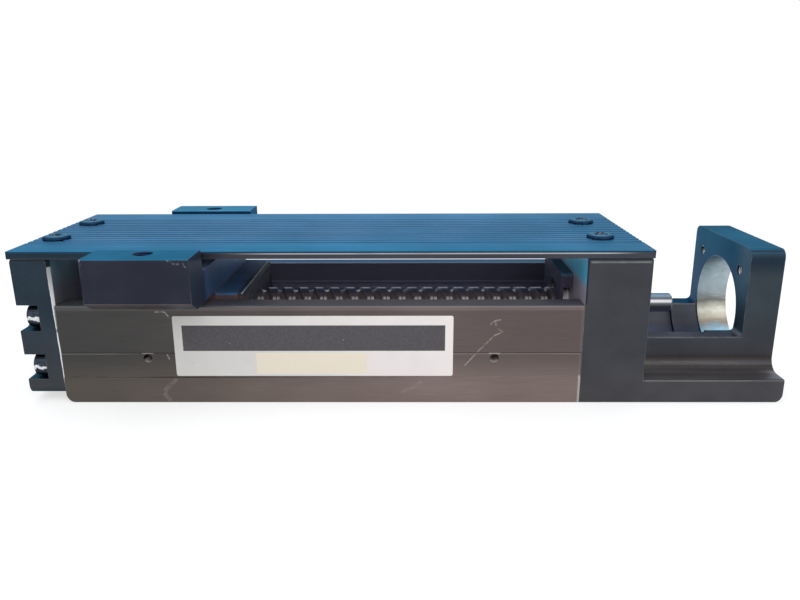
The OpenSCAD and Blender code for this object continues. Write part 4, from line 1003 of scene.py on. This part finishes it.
def ball_thread_tree():
    """A sheet wound round the X axis whose radius follows ball grooves of any lead and number of starts."""
    graph, given = tree_with("ball thread", {
        "Start": "length", "Length": "length", "Lead": "length", "Starts": "count", "Land radius": "length",
        "Ball circle radius": "length", "Groove radius": "length", "Axis height": "length",
        "Steps along each groove": "count", "Steps round": "count", "Finish": "finish",
    })
    pitch = graph.math("DIVIDE", given["Lead"], given["Starts"])
    column = graph.math("DIVIDE", pitch, given["Steps along each groove"])
    columns = graph.math("CEIL", graph.math("DIVIDE", graph.plus(given["Length"], graph.times(given["Lead"], 3)), column))
    sheet = graph.add("GeometryNodeMeshGrid")
    graph.feed(sheet.inputs["Size X"], graph.times(columns, column))
    sheet.inputs["Size Y"].default_value = TURN
    graph.feed(sheet.inputs["Vertices X"], graph.plus(columns, 1))
    graph.feed(sheet.inputs["Vertices Y"], graph.plus(given["Steps round"], 1))
    place = graph.split(graph.add("GeometryNodeInputPosition").outputs[0])
    half = graph.times(columns, column, 0.5)
    helix = graph.minus(graph.plus(place[0], half), graph.times(given["Lead"], 2))
    angle = graph.plus(place[1], TURN / 2)
    lead_angle = graph.math("ARCTAN2", given["Lead"], graph.times(given["Ball circle radius"], TURN))
    across = graph.times(
        graph.math("WRAP", helix, graph.times(pitch, 0.5), graph.times(pitch, -0.5)),
        graph.math("COSINE", lead_angle))
    left = graph.minus(graph.times(given["Groove radius"], given["Groove radius"]), graph.times(across, across))
    depth = graph.math("SQRT", graph.larger(left, 0.0))
    radius = graph.math("MINIMUM", given["Land radius"], graph.minus(given["Ball circle radius"], depth))
    along = graph.plus(graph.plus(given["Start"], helix), graph.times(given["Lead"], graph.times(angle, 1 / TURN)))
    wound = graph.add("GeometryNodeSetPosition")
    graph.feed(wound.inputs["Geometry"], sheet.outputs["Mesh"])
    graph.feed(wound.inputs["Position"], graph.vector(
        along,
        graph.times(radius, graph.math("SINE", angle)),
        graph.minus(given["Axis height"], graph.times(radius, graph.math("COSINE", angle)))))
    seam = graph.add("GeometryNodeMergeByDistance")
    seam.inputs["Distance"].default_value = 0.002 * MM
    graph.feed(seam.inputs["Geometry"], wound.outputs[0])
    return close_tree(graph, seam.outputs[0], given["Finish"])


def tapped_thread_tree():
    """A ridge that winds down inside a tapped hole, which runs along Z from z = 0 downwards."""
    graph, given = tree_with("tapped thread", {
        "Hole radius": "length", "Ridge height": "length", "Pitch": "length", "Depth": "length", "Finish": "finish",
    })
    spiral = graph.add("GeometryNodeCurveSpiral")
    spiral.inputs["Resolution"].default_value = 28
    graph.feed(spiral.inputs["Rotations"], graph.math("DIVIDE", given["Depth"], given["Pitch"]))
    graph.feed(spiral.inputs["Start Radius"], given["Hole radius"])
    graph.feed(spiral.inputs["End Radius"], given["Hole radius"])
    graph.feed(spiral.inputs["Height"], graph.times(given["Depth"], -1))
    section = graph.add("GeometryNodeCurvePrimitiveCircle")
    section.inputs["Resolution"].default_value = 4
    graph.feed(section.inputs["Radius"], given["Ridge height"])
    sweep = graph.add("GeometryNodeCurveToMesh")
    graph.feed(sweep.inputs["Curve"], spiral.outputs[0])
    graph.feed(sweep.inputs["Profile Curve"], section.outputs[0])
    sweep.inputs["Fill Caps"].default_value = True
    return close_tree(graph, sweep.outputs[0], given["Finish"])


PATTERN = pattern_tree()
BALL_THREAD = ball_thread_tree()
TAPPED_THREAD = tapped_thread_tree()


def repeated(name, mesh, finish, columns=1, column_step=(0, 0, 0), rows=1, row_step=(0, 0, 0)):
    return grown(PATTERN, name, {
        "Columns": columns, "Column step": column_step, "Rows": rows, "Row step": row_step, "Finish": finish,
    }, mesh)


def placed(mesh, turn=None, at=(0, 0, 0)):
    """Turns a mesh drawn at the origin and moves it to its place."""
    mesh.transform(Matrix.Translation(Vector(at)) @ (turn or Matrix.Identity(4)))
    return mesh


# ---------- pieces ----------

def turned_mesh(name, outline, count=64):
    """Turns [x, radius] points about the screw's axis."""
    rings = [ring(x, radius, count) for x, radius in outline]
    return placed(lofted(name, rings), Matrix.Rotation(TURN / 4, 4, "Y"), (0, 0, SHAFT_Z))


def ball_screw(finish):
    """Two-start ball screw with its turned journals and the plain end for the coupling."""
    thread_x0 = DAMPER_HIGH.x + 0.8 * MM
    thread_x1 = RING_LOW.x - 0.4 * MM
    thread = grown(BALL_THREAD, "screw_thread", {
        "Start": thread_x0, "Length": thread_x1 - thread_x0, "Lead": LEAD, "Starts": STARTS,
        "Land radius": LAND_RADIUS, "Ball circle radius": BALL_CIRCLE, "Groove radius": GROOVE_RADIUS,
        "Axis height": SHAFT_Z, "Steps along each groove": 20, "Steps round": 40, "Finish": finish,
    })
    shape = bmesh.new()
    shape.from_mesh(thread)
    for x, side in ((thread_x0, -1), (thread_x1, 1)):
        parts = list(shape.verts) + list(shape.edges) + list(shape.faces)
        bmesh.ops.bisect_plane(shape, geom=parts, plane_co=(x, 0, 0), plane_no=(side, 0, 0), clear_outer=True)
        rim = [line for line in shape.edges if line.is_boundary and abs(line.verts[0].co.x - x) < 1e-6]
        bmesh.ops.holes_fill(shape, edges=rim)
    far_r, motor_r, end_r = 3.0 * MM, 4.0 * MM, MOUNTS["shaft_end"]["dims"]["r_mm"] * MM
    tip = SCREW_LOW.x
    far_part = turned_mesh("far_journal", [
        (tip, far_r - 0.4 * MM), (tip + 0.4 * MM, far_r), (thread_x0 + 0.5 * MM, far_r)])
    nut_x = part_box("lock_nut")[1].x
    motor_part = turned_mesh("motor_journal", [
        (thread_x1 - 0.5 * MM, motor_r), (nut_x, motor_r), (nut_x + 0.2 * MM, end_r + 0.3 * MM),
        (nut_x + 0.2 * MM, end_r), (SCREW_HIGH.x - 0.5 * MM, end_r), (SCREW_HIGH.x - 0.1 * MM, end_r - 0.4 * MM),
        (SCREW_HIGH.x, end_r - 0.8 * MM)])
    for mesh in (far_part, motor_part):
        shape.from_mesh(mesh)
    new_piece("dressed_ball_screw", meshed("dressed_ball_screw", shape, 28), finish, "screw", ("ball_screw",))


def rail_screws(name, node, direction, finish):
    """Four cap screws in two rows, with their heads towards -X or +X."""
    low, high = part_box(node)
    d = CAP_SCREW
    head = cap_screw_head(d)
    shank = lofted("shank", [ring(-0.3 * MM, d / 2 - 0.05 * MM, 24), ring(-(high.x - low.x) + d, d / 2 - 0.05 * MM, 24)])
    single = joined("cap_screw", [head, shank], 30)
    seat_x = low.x + d if direction < 0 else high.x - d
    turn = Matrix.Rotation(direction * TURN / 4, 4, "Y")
    placed(single, turn, (seat_x, 0, (low.z + high.z) / 2))
    across = high.y - low.y - 2 * HEAD_RADIUS
    up = high.z - low.z - 2 * HEAD_RADIUS
    mesh = repeated(name, single, finish, 2, (0, across, 0), 2, (0, 0, up))
    new_piece(name, mesh, finish, "base", (node,))


def cover_screws():
    low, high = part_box("cover_screws")
    d = 8 * MM
    finish = truss_finish((low.x + high.x) / 2, (high.x - low.x - d) / 2, (high.y - low.y - d) / 2)
    head = truss_head(d, high.z - COVER_HIGH.z, 2.4 * MM)
    shank_r = 1.45 * MM
    shank = lofted("shank", [ring(-0.02 * MM, shank_r, 24), ring(low.z - COVER_HIGH.z, shank_r, 24)])
    single = joined("truss_screw", [head, shank], 30)
    placed(single, Matrix.Rotation(math.radians(42), 4, "Z"), ((low.x + high.x) / 2, 0, COVER_HIGH.z))
    mesh = repeated("cover_truss_screws", single, finish, 2, (high.x - low.x - d, 0, 0), 2, (0, high.y - low.y - d, 0))
    new_piece("cover_truss_screws", mesh, finish, "base", ("cover_screws",))


def label(low, high):
    """Thin label with rounded corners on the near side of the rail."""
    radius, thick = 0.6 * MM, 0.09 * MM
    corners = [(high.x, high.z, 0), (low.x, high.z, 1), (low.x, low.z, 2), (high.x, low.z, 3)]

    def outline(inset, y):
        points = []
        for x, z, quarter in corners:
            mid_x = x - radius if quarter in (0, 3) else x + radius
            mid_z = z - radius if quarter in (0, 1) else z + radius
            for step in range(7):
                angle = TURN / 4 * (quarter + step / 6)
                points.append(Vector((mid_x + (radius - inset) * math.cos(angle), y,
                                      mid_z + (radius - inset) * math.sin(angle))))
        return points
    rings = [outline(0, low.y), outline(0, low.y - 0.7 * thick), outline(0.04 * MM, low.y - thick)]
    mesh = lofted("bare_label", rings, 20)
    new_piece("bare_label", mesh, label_finish(low, high), "base")


def tapped_holes(finish, mount, pitch, depth, into):
    """Thread ridges in the tapped holes of a mount. Each hole runs from its mouth along into."""
    radius = mount["dims"]["hole_r_mm"] * MM
    ridge = 0.45 * pitch
    inset = 0.25 * MM
    thread = grown(TAPPED_THREAD, "thread_ridge", {
        "Hole radius": radius, "Ridge height": ridge, "Pitch": pitch, "Depth": depth - 2 * inset, "Finish": finish,
    })
    turn = Vector((0, 0, -1)).rotation_difference(Vector(into)).to_matrix().to_4x4()
    return placed(thread, turn @ Matrix.Translation((0, 0, -inset)))


def wing_threads(finish):
    mount = MOUNTS["wing_screws"]
    wing_depth = TABLE_HIGH.z - TABLE_LOW.z - 3.2 * MM
    single = tapped_holes(finish, mount, 0.8 * MM, wing_depth, (0, 0, -1))
    placed(single, None, (TABLE_X, 0, TABLE_HIGH.z))
    mesh = repeated("wing_threads", single, finish, rows=2, row_step=(0, mount["dims"]["spacing_y_mm"] * MM, 0))
    new_piece("wing_threads", mesh, finish, "carriage")


def motor_threads(finish):
    mount = MOUNTS["motor_screws"]
    step = mount["dims"]["pcd_mm"] * MM / math.sqrt(2)
    flange_t = MOUNTS["motor_pilot"]["dims"]["length_mm"] * MM
    single = tapped_holes(finish, mount, 0.5 * MM, flange_t, (-1, 0, 0))
    placed(single, None, (BRACKET_HIGH.x, 0, SHAFT_Z))
    mesh = repeated("motor_threads", single, finish, 2, (0, step, 0), 2, (0, 0, step))
    new_piece("motor_threads", mesh, finish, "base")


# ---------- dressing ----------

def paint(finish, *names):
    for name in names:
        for slot in frame["nodes"][name].material_slots:
            slot.material = finish


def dress():
    paint(rail_finish(), "outer_rail")
    paint(casting_finish(), "motor_bracket", "far_end_casting")
    paint(cover_finish(), "top_cover")
    paint(table_finish(), "sub_table")
    paint(steel_finish("turned ring steel", (1.0, 0.98, 0.97), 0.4, pitch=0.9 * MM, depth=0.75), "stop_ring")
    paint(steel_finish("turned steel", (0.50, 0.49, 0.47), 0.3),
          "thrust_collar", "bearing_ring_nut", "lock_nut", "snap_ring")
    paint(steel_finish("ground bearing steel", (0.62, 0.62, 0.62), 0.2, pitch=0.15 * MM),
          "motor_bearing_outer_rings", "motor_bearing_inner_rings", "far_bearing_outer_ring", "far_bearing_inner_ring")
    paint(steel_finish("polished balls", (0.72, 0.72, 0.73), 0.12),
          "motor_bearing_balls", "far_bearing_balls", "guide_balls", "screw_balls")
    paint(damper_finish(), "motor_end_damper", "far_end_damper")
    paint(block_finish("oiled block steel", (0.060, 0.080, 0.125), (0.085, 0.050, 0.048), 0.5, 0.3), "nut_block")
    paint(block_finish("red-brown resin", (0.062, 0.182, 0.390), (0.100, 0.050, 0.048), 0.6),
          "end_plate_motor_side", "end_plate_far_side")
    paint(seal_finish(), "end_seal_motor_side", "end_seal_far_side")
    paint(rubber_finish("red-brown seal strip", (0.080, 0.040, 0.038), (0.2, 0.12, 0.1)), "side_seals")
    black_oxide = oxide_finish("black oxide screws", (0.030, 0.038, 0.052), (0.55, 0.56, 0.58))
    paint(black_oxide, "table_screws")
    paint(oxide_finish("small zinc screws", (0.42, 0.42, 0.42), (0.70, 0.68, 0.62)), "end_plate_screws")
    ball_screw(screw_finish())
    rail_screws("far_cap_screws", "rail_screws_far_end", -1, black_oxide)
    rail_screws("motor_cap_screws", "rail_screws_motor_end", 1, black_oxide)
    cover_screws()
    wing_threads(table_finish())
    motor_threads(steel_finish("cut aluminium thread", (0.60, 0.62, 0.64), 0.3))
    side = RAIL_LOW.y + 0.25 * MM
    label(Vector((-66.0 * MM, side, 8.3 * MM)), Vector((14.1 * MM, side, 26.5 * MM)))


# ---------- stage ----------

def white_world():
    """Pale soft light all round, and plain white where the backdrop is seen or mirrored."""
    world = bpy.data.worlds.new("studio")
    bpy.context.scene.world = world
    world.use_nodes = True
    graph = Graph(world.node_tree)
    graph.nodes.clear()
    light, backdrop = graph.add("ShaderNodeBackground"), graph.add("ShaderNodeBackground")
    light.inputs["Color"].default_value = (0.94, 0.97, 1.0, 1)
    light.inputs["Strength"].default_value = 0.56
    backdrop.inputs["Strength"].default_value = 1.0
    backdrop.inputs["Color"].default_value = (1, 1, 1, 1)
    mix, out = graph.add("ShaderNodeMixShader"), graph.add("ShaderNodeOutputWorld")
    graph.feed(mix.inputs[0], seen_rays(graph))
    graph.feed(mix.inputs[1], light.outputs[0])
    graph.feed(mix.inputs[2], backdrop.outputs[0])
    graph.feed(out.inputs[0], mix.outputs[0])


def seen_rays(graph):
    rays = graph.add("ShaderNodeLightPath").outputs
    either = graph.larger(rays["Is Camera Ray"], rays["Is Glossy Ray"])
    return graph.larger(either, rays["Is Transmission Ray"])


def floor():
    """Pale floor that shows white and keeps the object's soft shadow."""
    material = bpy.data.materials.new("pale floor")
    material.use_nodes = True
    graph = Graph(material.node_tree)
    graph.nodes.clear()
    paper, lift = graph.add("ShaderNodeBsdfDiffuse"), graph.add("ShaderNodeEmission")
    paper.inputs["Color"].default_value = (0.42, 0.42, 0.42, 1)
    lift.inputs["Color"].default_value = (1, 1, 1, 1)
    graph.feed(lift.inputs["Strength"], graph.times(seen_rays(graph), 0.62))
    lit, plain = graph.add("ShaderNodeAddShader"), graph.add("ShaderNodeEmission")
    graph.feed(lit.inputs[0], paper.outputs[0])
    graph.feed(lit.inputs[1], lift.outputs[0])
    distance = graph.add("ShaderNodeVectorMath", operation="LENGTH")
    graph.feed(distance.inputs[0], graph.add("ShaderNodeTexCoord").outputs["Object"])
    away = graph.add("ShaderNodeMapRange", interpolation_type="SMOOTHSTEP")
    for socket, value in zip(away.inputs, (distance.outputs["Value"], 0.13, 0.36, 0.0, 1.0)):
        graph.feed(socket, value)
    mix, out = graph.add("ShaderNodeMixShader"), graph.add("ShaderNodeOutputMaterial")
    graph.feed(mix.inputs[0], graph.times(seen_rays(graph), away.outputs[0]))
    graph.feed(mix.inputs[1], lit.outputs[0])
    graph.feed(mix.inputs[2], plain.outputs[0])
    graph.feed(out.inputs[0], mix.outputs[0])
    shape = bmesh.new()
    bmesh.ops.create_grid(shape, x_segments=1, y_segments=1, size=4.0)
    mesh = bpy.data.meshes.new("floor")
    shape.to_mesh(mesh)
    shape.free()
    mesh.materials.append(material)
    ground = bpy.data.objects.new("floor", mesh)
    ground.location.z = cad_low.z - 0.05 * MM
    bpy.context.scene.collection.objects.link(ground)


def softbox(name, at, aim, size, power, colour=(1, 1, 1)):
    light = bpy.data.lights.new(name, "AREA")
    light.shape = "RECTANGLE"
    light.size, light.size_y = size
    light.energy = power
    light.color = colour
    box = bpy.data.objects.new(name, light)
    box.location = at
    box.rotation_euler = (Vector(aim) - Vector(at)).to_track_quat("-Z", "Y").to_euler()
    bpy.context.scene.collection.objects.link(box)


def camera():
    """The view: from the near side, a little above, level with the middle of the module."""
    lens = bpy.data.cameras.new("camera")
    lens.lens = 33.3
    lens.sensor_width = 36.0
    lens.clip_start = 0.01
    view = bpy.data.objects.new("camera", lens)
    pitch, yaw, roll = math.radians(-15.96), math.radians(0.60), math.radians(-0.24)
    place = Matrix.Translation(Vector((1.04, -230.11, 88.47)) * MM)
    turn = Matrix.Rotation(yaw, 4, "Z") @ Matrix.Rotation(TURN / 4 + pitch, 4, "X") @ Matrix.Rotation(roll, 4, "Z")
    view.matrix_world = place @ turn
    bpy.context.scene.collection.objects.link(view)
    bpy.context.scene.camera = view


def stage():
    camera()
    white_world()
    floor()
    middle = (cad_low + cad_high) / 2
    softbox("overhead", (-0.10, 0.10, 0.80), middle, (1.6, 1.4), 7.0, (0.95, 0.98, 1.0))
    softbox("front_right", (0.45, -0.75, 0.50), middle, (1.0, 0.9), 4.0, (1.0, 0.98, 0.95))
    softbox("front_left", (-0.60, -0.50, 0.40), middle, (0.8, 0.8), 1.5, (0.95, 0.98, 1.0))
    bpy.context.scene.view_settings.view_transform = "Standard"


dress()
stage()
